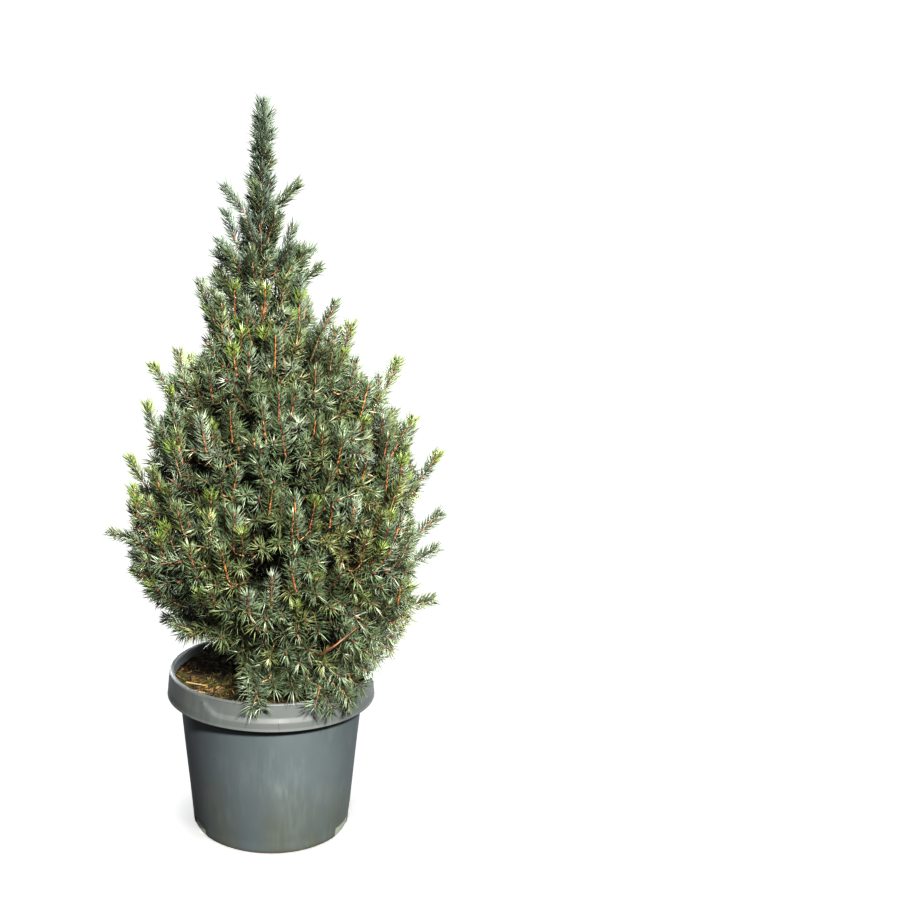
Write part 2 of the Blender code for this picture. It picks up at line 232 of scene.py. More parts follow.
def newGroup(name, kind, inputs, outputs):
    tree = bpy.data.node_groups.new(name, kind)
    for side, sockets in (("INPUT", inputs), ("OUTPUT", outputs)):
        for label, socketKind in sockets:
            tree.interface.new_socket(label, in_out=side, socket_type="NodeSocket" + socketKind)
    tree.nodes.new("NodeGroupInput")
    tree.nodes.new("NodeGroupOutput")
    return tree


def geometryTree(name, inputs):
    geometry = ("Geometry", "Geometry")
    return newGroup(name, "GeometryNodeTree", (geometry, *inputs), (geometry,))


# copies of a thing on points
def placeCopies(tree, points, thing, rotation, wide, tall):
    scale = addNode(tree, "ShaderNodeCombineXYZ", X=wide, Y=wide, Z=tall).outputs[0]
    shape = addNode(tree, "GeometryNodeObjectInfo", Object=thing).outputs["Geometry"]
    return addNode(tree, "GeometryNodeInstanceOnPoints", Points=points, Instance=shape, Rotation=rotation,
                   Scale=scale).outputs[0]


# ends a tree in real geometry with its material
def finishTree(tree, geometry, *materials):
    last = addNode(tree, "GeometryNodeRealizeInstances", Geometry=geometry)
    for material, selection in materials:
        last = addNode(tree, "GeometryNodeSetMaterial", Geometry=last.outputs[0], Material=material)
        if selection:
            tree.links.new(selection, last.inputs["Selection"])
    tree.links.new(last.outputs[0], tree.nodes["Group Output"].inputs[0])
    return tree


# runs a tree once on a guide and returns a plain piece without the modifier
def growPiece(name, guide, tree, values):
    modifier = guide.modifiers.new(tree.name, "NODES")
    modifier.node_group = tree
    sockets = {item.name: item.identifier for item in tree.interface.items_tree
               if item.item_type == "SOCKET" and item.in_out == "INPUT"}
    for label, value in values.items():
        modifier[sockets[label]] = value
    bpy.context.view_layer.update()
    mesh = bpy.data.meshes.new_from_object(guide.evaluated_get(bpy.context.evaluated_depsgraph_get()))
    bpy.data.objects.remove(guide, do_unlink=True)
    for spare in [layer.name for layer in mesh.attributes if layer.name in guideLabels]:
        mesh.attributes.remove(mesh.attributes[spare])
    return newObject(name, mesh)


# points with a value at each for every label, and edges where they make paths
def guideFrom(points, labels, edges=()):
    mesh = bpy.data.meshes.new("guide")
    mesh.from_pydata(np.asarray(points).tolist(), list(edges), [])
    for label, values in labels.items():
        values = np.asarray(values, np.float32)
        kind, field = ("FLOAT_VECTOR", "vector") if values.ndim == 2 else ("FLOAT", "value")
        mesh.attributes.new(label, kind, "POINT").data.foreach_set(field, values.ravel())
    return newObject("guide", mesh)


def pathGuide(lines, labels):
    starts = np.cumsum([0] + [len(line) for line in lines])
    edges = [(point, point + 1) for start, end in zip(starts, starts[1:]) for point in range(start, end - 1)]
    joined = {label: np.concatenate(rows) for label, rows in labels.items()}
    return guideFrom(np.concatenate(lines), joined, edges)


# the trunk's centre line and radius, read from its rings
trunkPoints = nodePoints("trunk")
trunkOrder = np.argsort(trunkPoints[:, 2])
trunkRings = np.split(trunkOrder, np.where(np.diff(trunkPoints[trunkOrder, 2]) > 0.0005)[0] + 1)
trunkCentres = np.array([trunkPoints[ring].mean(0) for ring in trunkRings])
trunkRadii = np.array([np.linalg.norm(trunkPoints[ring, :2] - trunkPoints[ring, :2].mean(0), axis=1).max()
                       for ring in trunkRings])


def alongTrunk(heights, values):
    return np.interp(heights, trunkCentres[:, 2], values)


def trunkAt(heights):
    heights = np.asarray(heights, float)
    x, y = (alongTrunk(heights, trunkCentres[:, axis]) for axis in (0, 1))
    return np.stack([x, y, heights], -1)


def awayFromTrunk(places):
    return np.linalg.norm((places - trunkAt(places[:, 2]))[:, :2], axis=1)


def boughLine(name):
    points = nodePoints(name)
    away = np.linalg.norm(points[:, :2] - trunkAt(points[:, 2].mean())[:2], axis=1)
    order = np.argsort(away)
    third = len(points) // 3
    end = points[order[-10:]].mean(0)
    radius = np.linalg.norm(points[order[-10:]] - end, axis=1).mean()
    return points[order[:third]].mean(0), points[order[third:2 * third]].mean(0), end, radius


massNames = namesWith("_mass")
shootNames = namesWith("_shoot")
boughNames = namesWith("_bough")
sheathNames = ["neck_mass", "spire_mass", "leader_mass"]
crownTree = searchTree(massNames)
massTrees = {name: searchTree([name]) for name in massNames}


crownSizes = {
    "seed": 7,
    "spacing": 0.0162,           # between shoot tips on the outside
    "outsideDepth": 0.008,       # a place with more foliage than this in front is inside
    "lookUp": (-0.45, 0.1, 0.8),
    "layers": (0.017, 0.036),    # inner shoots stand this far behind the surface
    "layerSpacing": (0.019, 0.025),
    "sideWeight": 0.16,          # how far shoots turn with the surface they leave
    "scatter": 0.20,
    "proud": 0.018,              # the longest upright shoots stand out this far
    "sideProud": -0.002,
    "top": 0.70,                 # higher up only the leader's own shoots grow
    "clear": 0.008,              # of the trunk's centre line
    "apart": 0.012,              # a sprig nearer than this to a framed shoot is left out
    "bareTo": -0.03,             # left of this the front stays open below "bareTop", over the soil
    "bareTop": (0.212, 0.25),
    "heroLength": 0.045,
    "spireLength": 0.034,
    "rimLength": (0.020, 0.026),
    "lengthSpread": (0.8, 1.25),
    "leanSpread": 8,
    # by height: share of upright shoots, lean from upright in degrees, lengths, gaps and how proud they stand
    "uprights": ((0.22, 0.0), (0.28, 0.22), (0.34, 0.40), (0.50, 0.50), (0.60, 0.60), (0.70, 0.75)),
    "lean": ((0.24, 60), (0.28, 32), (0.33, 18), (0.40, 11), (0.50, 10), (0.60, 15), (0.66, 24), (0.70, 20)),
    "sideLean": ((0.18, 112), (0.22, 102), (0.26, 92), (0.32, 78), (0.40, 66), (0.50, 54), (0.58, 46),
                 (0.68, 38)),
    "length": ((0.28, 0.028), (0.42, 0.037), (0.55, 0.036), (0.62, 0.030), (0.70, 0.024)),
    "sideLength": ((0.18, 0.020), (0.32, 0.023), (0.55, 0.024), (0.70, 0.018)),
    "room": ((0.24, 1.0), (0.45, 1.0), (0.60, 1.05), (0.70, 0.95)),
    "stand": ((0.26, 0.4), (0.34, 1.0), (0.62, 0.8), (0.68, 0.3)),
}

# furthest sprigs of the outline: x, height, lean in degrees
outlineSprigs = (
    (-0.055, 0.612, -24), (0.038, 0.577, 10), (0.084, 0.553, 12),
    (-0.097, 0.525, -12), (-0.121, 0.510, -10), (-0.133, 0.468, -14), (0.116, 0.498, 10),
    (0.152, 0.452, 14), (-0.176, 0.327, -62), (0.183, 0.306, 52), (0.178, 0.251, 66),
    (-0.117, 0.232, -80), (-0.150, 0.285, -62), (0.180, 0.417, 16), (0.188, 0.347, 42),
    (-0.148, 0.368, -20), (0.157, 0.385, 18), (-0.095, 0.480, -10), (0.098, 0.450, 10),
    (0.060, 0.520, 8), (-0.060, 0.545, -8), (0.020, 0.600, 6), (-0.028, 0.585, -8),
)

# sprays that hang over the front of the rim: tip, and the way each grows
rimSprays = (
    ((-0.018, -0.121, 0.177), (-0.20, -0.82, -0.45)), ((-0.010, -0.121, 0.176), (0.30, -0.80, -0.55)),
    ((-0.024, -0.110, 0.190), (-0.30, -0.85, -0.35)), ((0.044, -0.120, 0.176), (-0.25, -0.75, -0.60)),
    ((0.062, -0.114, 0.172), (0.45, -0.70, -0.55)), ((0.080, -0.102, 0.178), (0.75, -0.55, -0.40)),
    ((0.094, -0.084, 0.184), (0.85, -0.45, -0.30)), ((0.104, -0.062, 0.192), (0.95, -0.25, -0.20)),
    ((-0.048, -0.098, 0.234), (-0.80, -0.60, 0.10)), ((0.034, -0.112, 0.195), (-0.15, -0.97, 0.00)),
    ((0.004, -0.112, 0.192), (0.20, -0.97, -0.10)), ((0.072, -0.100, 0.200), (0.60, -0.80, 0.00)),
    ((-0.022, -0.106, 0.203), (-0.30, -0.92, 0.10)), ((0.018, -0.108, 0.210), (0.10, -0.98, 0.15)),
    ((0.054, -0.104, 0.212), (0.35, -0.90, 0.15)), ((0.022, -0.118, 0.193), (0.10, -0.95, -0.20)),
    ((-0.034, -0.100, 0.226), (-0.60, -0.80, 0.10)), ((0.086, -0.088, 0.212), (0.80, -0.60, 0.05)),
    ((0.098, -0.066, 0.210), (0.90, -0.40, 0.05)), ((-0.008, -0.104, 0.216), (-0.10, -0.95, 0.20)),
)

# one older twig that has lost its needles, low on the right
bareTwig = {
    "points": ((0.040, -0.104, 0.224), (0.052, -0.136, 0.234), (0.064, -0.142, 0.250),
               (0.090, -0.112, 0.260)),
    "thick": (0.0016, 0.0011),
    "uneven": (0.75, 1.25),
    "count": 14,
    "fleck": 0.5,
    "colours": ((0.112, 0.050, 0.020), (0.045, 0.022, 0.012)),
}

leaderSizes = {
    "from": 0.625,
    "to": 0.770,
    "step": 0.0038,
    "reach": ((0.63, 0.0165), (0.69, 0.0120), (0.72, 0.0082), (0.74, 0.0075), (0.76, 0.0058)),
    "lean": 28,
    "length": 0.018,
    "bunch": 0.025,              # height from one bunch of needles to the next
    "bunching": 0.42,            # share by which the bunches stand out
    "column": 0.018,             # other shoots this far from the trunk or nearer stay, above "from"
}

# side shoots of the spire: degrees round from the right, height and distance of the tip, lean
spireShoots = (
    (180, 0.669, 0.036, 16), (2, 0.656, 0.034, 18), (355, 0.631, 0.045, 30), (4, 0.613, 0.060, 48),
    (186, 0.640, 0.043, 26), (176, 0.628, 0.047, 38), (275, 0.690, 0.017, 22), (92, 0.690, 0.034, 34),
    (300, 0.664, 0.028, 28), (60, 0.668, 0.036, 34), (122, 0.662, 0.038, 30), (238, 0.660, 0.028, 26),
    (270, 0.640, 0.032, 34), (84, 0.642, 0.044, 36), (32, 0.636, 0.046, 40), (148, 0.634, 0.048, 40),
    (216, 0.630, 0.042, 36), (318, 0.632, 0.040, 36),
)


def scatterOnMasses(rng):
    places, normals, owners = [], [], []
    for index, name in enumerate(massNames):
        corners = nodeTriangles(name)
        cross = np.cross(corners[:, 1] - corners[:, 0], corners[:, 2] - corners[:, 0])
        area = np.linalg.norm(cross, axis=1) / 2
        count = int(area.sum() / crownSizes["spacing"] ** 2 * 9)
        picks = rng.choice(len(corners), count, p=area / area.sum())
        first, second = rng.random(count), rng.random(count)
        flip = first + second > 1
        first[flip], second[flip] = 1 - first[flip], 1 - second[flip]
        corner = corners[picks]
        places.append(corner[:, 0] + first[:, None] * (corner[:, 1] - corner[:, 0])
                      + second[:, None] * (corner[:, 2] - corner[:, 0]))
        normals.append(unit(cross[picks]))
        owners.append(np.full(count, index))
    order = rng.permutation(sum(len(rows) for rows in places))
    return [np.concatenate(rows)[order] for rows in (places, normals, owners)]


def outwardAt(places):
    out = places - trunkAt(places[:, 2])
    out[:, 2] = 0
    return unit(out)


# how much foliage lies in front of a place, looking out level or a little up or down
def depthOf(place, out):
    depths = []
    for rise in crownSizes["lookUp"]:
        way = Vector(unit(out + rise * up))
        spot, depth = Vector(place) + way * 0.001, 0.0
        for _ in range(12):
            hit = crownTree.ray_cast(spot, way, 0.4)
            if hit[0] is None:
                break
            depth = (hit[0] - Vector(place)).length
            spot = hit[0] + way * 0.0005
        depths.append(depth)
    return min(depths)


# keeps the places that stand clear of those kept before, and of those taken already
def thinOut(places, spacings, taken):
    cell = float(spacings.max())
    grid = {}
    for point in taken:
        grid.setdefault(tuple(np.floor(point / cell).astype(int)), []).append(point)
    around = [(i, j, k) for i in (-1, 0, 1) for j in (-1, 0, 1) for k in (-1, 0, 1)]
    kept = []
    for index, point in enumerate(places):
        spot = np.floor(point / cell).astype(int)
        near = [other for step in around for other in grid.get(tuple(spot + step), ())]
        if near and ((np.array(near) - point) ** 2).sum(1).min() < spacings[index] ** 2:
            continue
        grid.setdefault(tuple(spot), []).append(point)
        kept.append(index)
    return np.array(kept)


def nearestMass(place):
    return min(massNames, key=lambda name: massTrees[name].find_nearest(Vector(place))[3])


# a level direction at an angle round the trunk, and one that leans out that way
def leaningOut(angle, lean):
    out = np.array([math.cos(angle), math.sin(angle), 0.0])
    return out, out * math.sin(lean) + up * math.cos(lean)


def newShoot(tip, aim, length, kind, owner=None):
    tip, aim = np.array(tip, float), unit(aim)
    return dict(tip=tip, aim=aim, length=length, kind=kind, owner=owner or nearestMass(tip - aim * length))


# tips and directions of the projecting shoots in the frame, from the middle of each to its further end
def framedShoots():
    made = []
    for name in shootNames:
        points = nodePoints(name)
        middle = points.mean(0)
        aim = unit(outwardAt(middle[None])[0] + (-1.0 if name.startswith("rim") else 1.0) * up)
        for _ in range(4):
            reach = (points - middle) @ aim
            tip = points[reach > reach.max() - 0.0015].mean(0)
            aim = unit(tip - middle)
        made.append(newShoot(tip, aim, crownSizes["heroLength"], "hero"))
    return made


def leaderShoots(rng):
    made = []
    heights = np.arange(leaderSizes["to"], leaderSizes["from"], -leaderSizes["step"])
    for index, height in enumerate(heights):
        angle = index * goldenTurn + rng.normal() * 0.2
        out, aim = leaningOut(angle, math.radians(leaderSizes["lean"] + rng.normal() * 4))
        swell = math.sin(math.tau * height / leaderSizes["bunch"] + math.cos(angle) * 1.5)
        bunch = 1 + leaderSizes["bunching"] * swell
        tip = trunkAt(height) + out * tableAt(leaderSizes["reach"], height) * bunch * rng.uniform(0.9, 1.1)
        made.append(newShoot(tip, aim, leaderSizes["length"] * rng.uniform(0.85, 1.15), "upright",
                             "leader_mass" if height > crownSizes["top"] else "spire_mass"))
    return made


# shoots with a set place: those of the frame, the outline, the spire and the rim
def placedShoots(rng):
    shoots = framedShoots()
    for x, height, lean in outlineSprigs:
        tip = np.array([x, rng.uniform(-0.015, 0.015), height])
        if min(np.linalg.norm((shoot["tip"] - tip)[[0, 2]]) for shoot in shoots) > crownSizes["apart"]:
            lean = math.radians(lean)
            aim = math.sin(lean), rng.normal() * 0.1, math.cos(lean)
            shoots.append(newShoot(tip, aim, crownSizes["heroLength"], "hero"))
    for degrees, height, reach, lean in spireShoots:
        out, aim = leaningOut(math.radians(degrees), math.radians(lean))
        shoots.append(newShoot(trunkAt(height) + out * reach, aim, crownSizes["spireLength"], "hero"))
    for tip, aim in rimSprays:
        shoots.append(newShoot(tip, aim, rng.uniform(*crownSizes["rimLength"]), "rim"))
    return shoots


# places on the outside of the masses and then in layers behind it, each clear of those taken
def crownPlaces(rng, taken):
    places, normals, owners = scatterOnMasses(rng)
    out = outwardAt(places)
    depth = np.array([depthOf(place, way) for place, way in zip(places, out)])
    away = awayFromTrunk(places)
    x, y, height = places.T
    spire = (height > leaderSizes["from"]) & (away > leaderSizes["column"])
    top, slope = crownSizes["bareTop"]
    bare = (x < crownSizes["bareTo"]) & (y < 0) & (height < top - slope * y)
    use = (depth < crownSizes["outsideDepth"]) & (height < crownSizes["top"]) & ~spire & ~bare
    surface = [rows[use] for rows in (places, normals, owners, out)]
    chosen = []
    for behind, gap in ((0.0, crownSizes["spacing"]), *zip(crownSizes["layers"], crownSizes["layerSpacing"])):
        places, normals, owners, out = surface
        places = places - behind * unit(normals + out)
        kept = thinOut(places, gap * tableAt(crownSizes["room"], places[:, 2]), taken)
        kept = kept[awayFromTrunk(surface[0][kept]) > crownSizes["clear"] + behind]
        chosen.append([rows[kept] for rows in (places, normals, owners, out)] + [np.full(len(kept), behind)])
        taken = taken + list(places[kept])
    return [np.concatenate(rows) for rows in zip(*chosen)]


def planShoots():
    rng = np.random.default_rng(crownSizes["seed"])
    shoots = placedShoots(rng)
    taken = [shoot["tip"] for shoot in shoots] + list(bezier(bareTwig["points"], 6)[2:5])
    places, normals, owners, out, behind = crownPlaces(rng, taken)
    inner = behind > 0
    heights, count = places[:, 2], len(places)
    upright = (rng.random(count) < tableAt(crownSizes["uprights"], heights)) & ~inner

    def either(uprightValue, sideValue):
        return np.where(upright, uprightValue, sideValue)

    lean = either(tableAt(crownSizes["lean"], heights), tableAt(crownSizes["sideLean"], heights))
    lean = np.radians(lean + crownSizes["leanSpread"] * rng.normal(size=count))[:, None]
    turn = either(0.5, 1.0)[:, None] * crownSizes["sideWeight"]
    aims = unit(out * np.sin(lean) + up * np.cos(lean) + turn * normals)
    aims = unit(aims + either(0.10, crownSizes["scatter"])[:, None] * rng.normal(size=places.shape))
    lengths = either(tableAt(crownSizes["length"], heights), tableAt(crownSizes["sideLength"], heights))
    lengths *= rng.uniform(*crownSizes["lengthSpread"], count)
    proud = either(crownSizes["proud"] * rng.random(count) ** 1.5, crownSizes["sideProud"])
    proud *= tableAt(crownSizes["stand"], heights)
    kinds = np.where(inner, "inner", either("upright", "side"))
    for index, place in enumerate(places):
        shoots.append(newShoot(place + aims[index] * proud[index], aims[index], lengths[index],
                               str(kinds[index]), massNames[owners[index]]))
    return shoots + leaderShoots(rng)


twigSizes = {
    "stemPoints": 20,
    "twigPoints": 5,
    "fleck": 0.42,               # share of a stem's faces in its darker colour
    "stemRadius": 0.00116,
    "sideRadius": 0.00075,       # of a side shoot's stem
    "taper": 0.7,
    "uneven": (0.8, 1.2),
    "twigRadius": 0.00085,       # of a twig that carries one shoot
    "ruddyShare": 0.40,
    "brownShare": 0.14,
    "brownFrom": 0.60,           # stems higher than this are all brown
    "thicken": 0.30,             # power by which a twig thickens with the shoots it carries
    "straighten": 0.45,          # higher takes each twig more directly from its bough
    "turnCost": 0.35,            # higher keeps a twig from turning back
    "follow": 0.6,               # how far a twig already points the way of its shoot
    "sag": 0.28,
    "handle": 0.35,              # share of its length over which a twig keeps its direction at each end
    "mostLoad": 40,
    "thickest": (0.0024, 0.0020),
}


def twigRoots(name):
    if name in sheathNames:
        low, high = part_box(name)
        roots = trunkAt(np.arange(low.z - 0.012, high.z - 0.006, 0.006))
        return roots, np.tile(up, (len(roots), 1))
    _, middle, end, _ = boughLine(name.replace("_mass", "_bough"))
    return end[None], unit(end - middle)[None]


# links the feet of a mass's shoots to its bough or the trunk, nearest first
def growTwigs(name, shoots):
    roots, rootAims = twigRoots(name)
    points, aims = list(roots), list(rootAims)
    parents, paths = [-1] * len(points), [0.0] * len(points)
    for shoot in shoots:
        aim, length = shoot["aim"], shoot["length"]
        shoot["bend"] = unit(aim - twigSizes["sag"] * up)
        shoot["foot"] = shoot["tip"] - shoot["bend"] * length * 0.5 - aim * length * 0.5
    shoots = sorted(shoots, key=lambda shoot: np.linalg.norm(roots - shoot["foot"], axis=1).min())
    for shoot in shoots:
        gaps = shoot["foot"] - np.array(points)
        steps = np.linalg.norm(gaps, axis=1)
        turn = 1 - (gaps * np.array(aims)).sum(1) / np.maximum(steps, 1e-6)
        cost = steps * (1 + twigSizes["turnCost"] * turn) + twigSizes["straighten"] * np.array(paths)
        parent = int(np.argmin(cost))
        shoot["own"], shoot["parent"] = len(points), parent
        points.append(shoot["foot"])
        aims.append(unit(unit(gaps[parent]) + twigSizes["follow"] * shoot["bend"]))
        parents.append(parent)
        paths.append(paths[parent] + steps[parent])
    load = np.ones(len(points))
    for index in range(len(points) - 1, len(roots) - 1, -1):
        load[parents[index]] += load[index]
    load[:len(roots)] = np.minimum(load[:len(roots)], twigSizes["mostLoad"])
    for shoot in shoots:
        parent, foot, bend, length = shoot["parent"], shoot["foot"], shoot["bend"], shoot["length"]
        reach, hold = np.linalg.norm(foot - points[parent]), twigSizes["handle"]
        shoot["twig"] = bezier([points[parent], points[parent] + aims[parent] * reach * hold,
                                foot - bend * reach * hold, foot], twigSizes["twigPoints"])
        shoot["path"] = [foot, foot + bend * length * 0.5, shoot["tip"]]
        own = twigSizes["twigRadius"] * load[shoot["own"]] ** twigSizes["thicken"]
        shoot["radii"] = [min(own * share, most) for share, most in zip((1.2, 1.0), twigSizes["thickest"])]


needleSizes = {
    "seed": 3,
    "spacing": {"outer": 0.00050, "inner": 0.00098},     # inner is on twigs and inside the crown
    # inputs of the tree: tilts from the shoot at its foot and tip, and how far needles turn up
    "inputs": {"Length": 0.0136, "Width": 0.00114, "Base Tilt": math.radians(72),
               "Tip Tilt": math.radians(50), "Tilt Scatter": 0.27, "Lift": 0.06},
    "turnStray": 0.9,
    "closing": 2.6,              # higher keeps needles open until nearer the tip
    "rises": (-0.8, 0.5),
    "widths": (0.85, 1.15),
    "lengths": (0.72, 1.14),
    # by habit of a shoot: how far its needles spread, their size, and where it gets twice as full
    "habits": {"full": (0.88, 1.02, 0.35), "upright": (0.95, 1.00, 0.55), "side": (1.0, 1.10, 0.84)},
    "spreads": (1.02, 0.88),     # of side shoots, and of upright ones
    "spreadRange": (0.93, 1.07),
    "sizeRange": (0.90, 1.08),
    "narrower": 0.14,            # how much less the needles spread at the top
    "narrowFrom": (0.55, 0.1),   # a height, and the span over which that comes on
    "larger": 0.18,              # how much larger low side shoots' needles are
    "largeBelow": (0.34, 0.10),
    "fullFrom": 0.62,            # shoots higher than this are all full
    "tipSizes": (1.0, 1.0, 0.92),
    "freshFrom": 0.74,           # of the way up a shoot with a fresh tip
    "freshHeights": (0.27, 0.60),
    "freshShares": {"hero": (0.35, 0.0), "upright": (0.20, 0.22)},   # anywhere, and more on the left
    "freshLeft": 0.15,
    "palerFrom": (0.25, 0.4),
    "spireFrom": (0.625, 0.02),
    "spireShare": 0.7,
    "innerShare": 0.15,          # of inner shoots that are not in deep shade
    "roughness": 0.48,
    "waxRoughness": 0.52,
    "sheen": 0.45,
    "shadeSheen": 0.08,
    "perPiece": 31000,           # needles in one piece at most
}

# base colours of a needle's green sides and of its waxy side, dealt out by spray
needleTones = {
    "blue": ((0.073, 0.101, 0.058), (0.150, 0.184, 0.136)),
    "deep": ((0.047, 0.064, 0.032), (0.110, 0.138, 0.084)),
    "green": ((0.080, 0.102, 0.048), (0.156, 0.188, 0.106)),
    "silver": ((0.102, 0.126, 0.092), (0.210, 0.246, 0.198)),
    "olive": ((0.088, 0.104, 0.043), (0.160, 0.184, 0.092)),
    "fresh": ((0.100, 0.138, 0.038), (0.148, 0.192, 0.060)),
    "spire": ((0.046, 0.065, 0.045), (0.105, 0.134, 0.106)),
    "shade": ((0.007, 0.010, 0.005), (0.022, 0.029, 0.018)),
}


# how common each tone is anywhere, with more of it high up, and more of it low down
toneShares = {
    "blue": (0.26, 0.24, 0.0),
    "deep": (0.28, 0.0, 0.0),
    "green": (0.14, 0.0, 0.16),
    "silver": (0.07, 0.04, 0.0),
    "olive": (0.0, 0.0, 0.14),
}


# a three-sided needle one unit long, bowed and pointed at both ends
def needleShape():
    angles = [math.radians(60 + 120 * corner) for corner in range(3)]
    points = [(0.0, 0.0, 0.0)]
    points += [(0.5 * math.cos(angle) - 0.8, 0.5 * math.sin(angle), 0.45) for angle in angles]
    points.append((0.4, 0.0, 1.0))
    faces = [(0, 1 + (corner + 1) % 3, 1 + corner) for corner in range(3)]
    faces += [(1 + corner, 1 + (corner + 1) % 3, 4) for corner in range(3)]
    mesh = meshOf("needle_shape", points, faces)
    mesh.attributes.new("wax", "BOOLEAN", "FACE").data.foreach_set("value", [True, False, False] * 2)
    return newObject("needle_shape", mesh)


def needleTree():
    tree = geometryTree("needled_sprays", (
        ("Needle", "Object"), ("Spacing", "Float"), *((label, "Float") for label in needleSizes["inputs"]),
        ("Seed", "Int"), ("Green", "Material"), ("Wax", "Material")))
    given = tree.nodes["Group Input"].outputs
    curve = addNode(tree, "GeometryNodeMeshToCurve", Mesh=given["Geometry"])
    dots = addNode(tree, "GeometryNodeCurveToPoints", {"mode": "LENGTH"}, Curve=curve.outputs[0],
                   Length=given["Spacing"])
    aim = readAttribute(tree, "aim", "FLOAT_VECTOR")
    index = addNode(tree, "GeometryNodeInputIndex").outputs[0]
    turn = doMath(tree, "ADD", doMath(tree, "MULTIPLY", index, goldenTurn),
                  randomBetween(tree, -needleSizes["turnStray"], needleSizes["turnStray"], given["Seed"], 1))
    radial = addNode(tree, "ShaderNodeVectorRotate", {"rotation_type": "AXIS_ANGLE"}, Axis=aim, Angle=turn,
                     Vector=readAttribute(tree, "side", "FLOAT_VECTOR")).outputs[0]
    near = doMath(tree, "POWER", readAttribute(tree, "along"), needleSizes["closing"])
    close = doMath(tree, "MULTIPLY", near, doMath(tree, "SUBTRACT", given["Tip Tilt"], given["Base Tilt"]))
    stray = doMath(tree, "MULTIPLY", randomBetween(tree, -1.0, 1.0, given["Seed"], 2), given["Tilt Scatter"])
    tilt = doMath(tree, "ADD", given["Base Tilt"], close, stray)
    tilt = doMath(tree, "MULTIPLY", tilt, readAttribute(tree, "spread"))
    way = doVector(tree, "ADD", scaleVector(tree, aim, doMath(tree, "COSINE", tilt)),
                   scaleVector(tree, radial, doMath(tree, "SINE", tilt)))
    way = doVector(tree, "ADD", way, scaleVector(tree, (0.0, 0.0, 1.0), given["Lift"]))
    turned = addNode(tree, "FunctionNodeAlignRotationToVector", {"axis": "Z"}, Vector=way)
    rise = randomBetween(tree, *needleSizes["rises"], given["Seed"], 5)
    bow = doVector(tree, "ADD", aim, scaleVector(tree, (0.0, 0.0, 1.0), rise))
    rolled = addNode(tree, "FunctionNodeAlignRotationToVector", {"axis": "X", "pivot_axis": "Z"},
                     Rotation=turned.outputs[0], Vector=bow)
    wide = doMath(tree, "MULTIPLY", given["Width"],
                  randomBetween(tree, *needleSizes["widths"], given["Seed"], 3))
    tall = doMath(tree, "MULTIPLY", given["Length"], readAttribute(tree, "size"),
                  randomBetween(tree, *needleSizes["lengths"], given["Seed"], 4))
    placed = placeCopies(tree, dots.outputs["Points"], given["Needle"], rolled.outputs[0], wide, tall)
    return finishTree(tree, placed, (given["Green"], None),
                      (given["Wax"], readAttribute(tree, "wax", "BOOLEAN")))


# bluer and paler above, greener below, with fresh tips on some upright shoots
def dealTones(shoots):
    rng = np.random.default_rng(needleSizes["seed"])
    base, above, below = np.array(list(toneShares.values())).T
    spireFrom, wander = needleSizes["spireFrom"]
    low, top = needleSizes["freshHeights"]
    for shoot in shoots:
        x, _, height = shoot["tip"]
        high = shareOf(height, *needleSizes["palerFrom"])
        mellow = (1 - high) * (shoot["kind"] != "rim")
        weights = base + above * high + below * mellow
        shoot["tone"] = str(rng.choice(list(toneShares), p=weights / weights.sum()))
        if height > spireFrom + wander * rng.normal():
            shoot["tone"] = "spire" if rng.random() < needleSizes["spireShare"] else "deep"
        if shoot["kind"] == "inner":
            shoot["tone"] = "deep" if rng.random() < needleSizes["innerShare"] else "shade"
        chance, more = needleSizes["freshShares"].get(shoot["kind"], (0.0, 0.0))
        chance += more * shareOf(-x, 0.0, needleSizes["freshLeft"])
        shoot["fresh"] = bool(low < height < top and rng.random() < chance)


def needleRow(line, first, last, tone, group, size, spread, rng):
    aim = unit(np.gradient(line, axis=0))
    side = unit(np.cross(aim, unit(rng.normal(size=3))))
    along = np.linspace(first, last, len(line))
    sizes = size * np.interp(along, (0, 0.8, 1), needleSizes["tipSizes"])
    return dict(tone=tone, group=group, line=line, aim=aim, side=side, along=along, size=sizes,
                spread=np.full(len(line), spread), reach=np.linalg.norm(np.diff(line, axis=0), axis=1).sum())


# the needled stretches of one shoot: end of its twig, its stem and the fuller tuft at the tip
def needleStretches(shoot, rng):
    kind, height, tone = shoot["kind"], shoot["tip"][2], shoot["tone"]
    close = shoot["owner"] in sheathNames or kind in ("hero", "rim")
    upright = kind in ("hero", "upright")
    full = kind == "hero" or height > needleSizes["fullFrom"]
    habit = "full" if full else "upright" if upright else "side"
    wide, big, fullFrom = needleSizes["habits"][habit]
    narrow = needleSizes["narrower"] * shareOf(height, *needleSizes["narrowFrom"])
    spread = (needleSizes["spreads"][upright] - narrow) * rng.uniform(*needleSizes["spreadRange"]) * wide
    below, span = needleSizes["largeBelow"]
    large = needleSizes["larger"] * shareOf(-height, -below, span) * (habit == "side")
    size = rng.uniform(*needleSizes["sizeRange"]) * (big + large)
    twigTone, twigGroup = (tone, "outer") if close else ("shade", "inner")
    yield needleRow(shoot["twig"][1 if close else 2:], 0.0, 0.0, twigTone, twigGroup, size, spread, rng)
    stem = bezier(shoot["path"], 15)
    group = "inner" if kind == "inner" else "outer"
    freshFrom = needleSizes["freshFrom"] if shoot["fresh"] else 2.0
    for low in (0.0, fullFrom) if group == "outer" else (0.0,):
        cuts = [low, freshFrom, 1.0] if low < freshFrom < 1.0 else [low, 1.0]
        for first, last in zip(cuts, cuts[1:]):
            share = np.linspace(first, last, 6)
            line = np.stack([np.interp(share, np.linspace(0, 1, 15), stem[:, axis]) for axis in range(3)], 1)
            own = "fresh" if first >= freshFrom else tone
            yield needleRow(line, first, last, own, group, size, spread, rng)


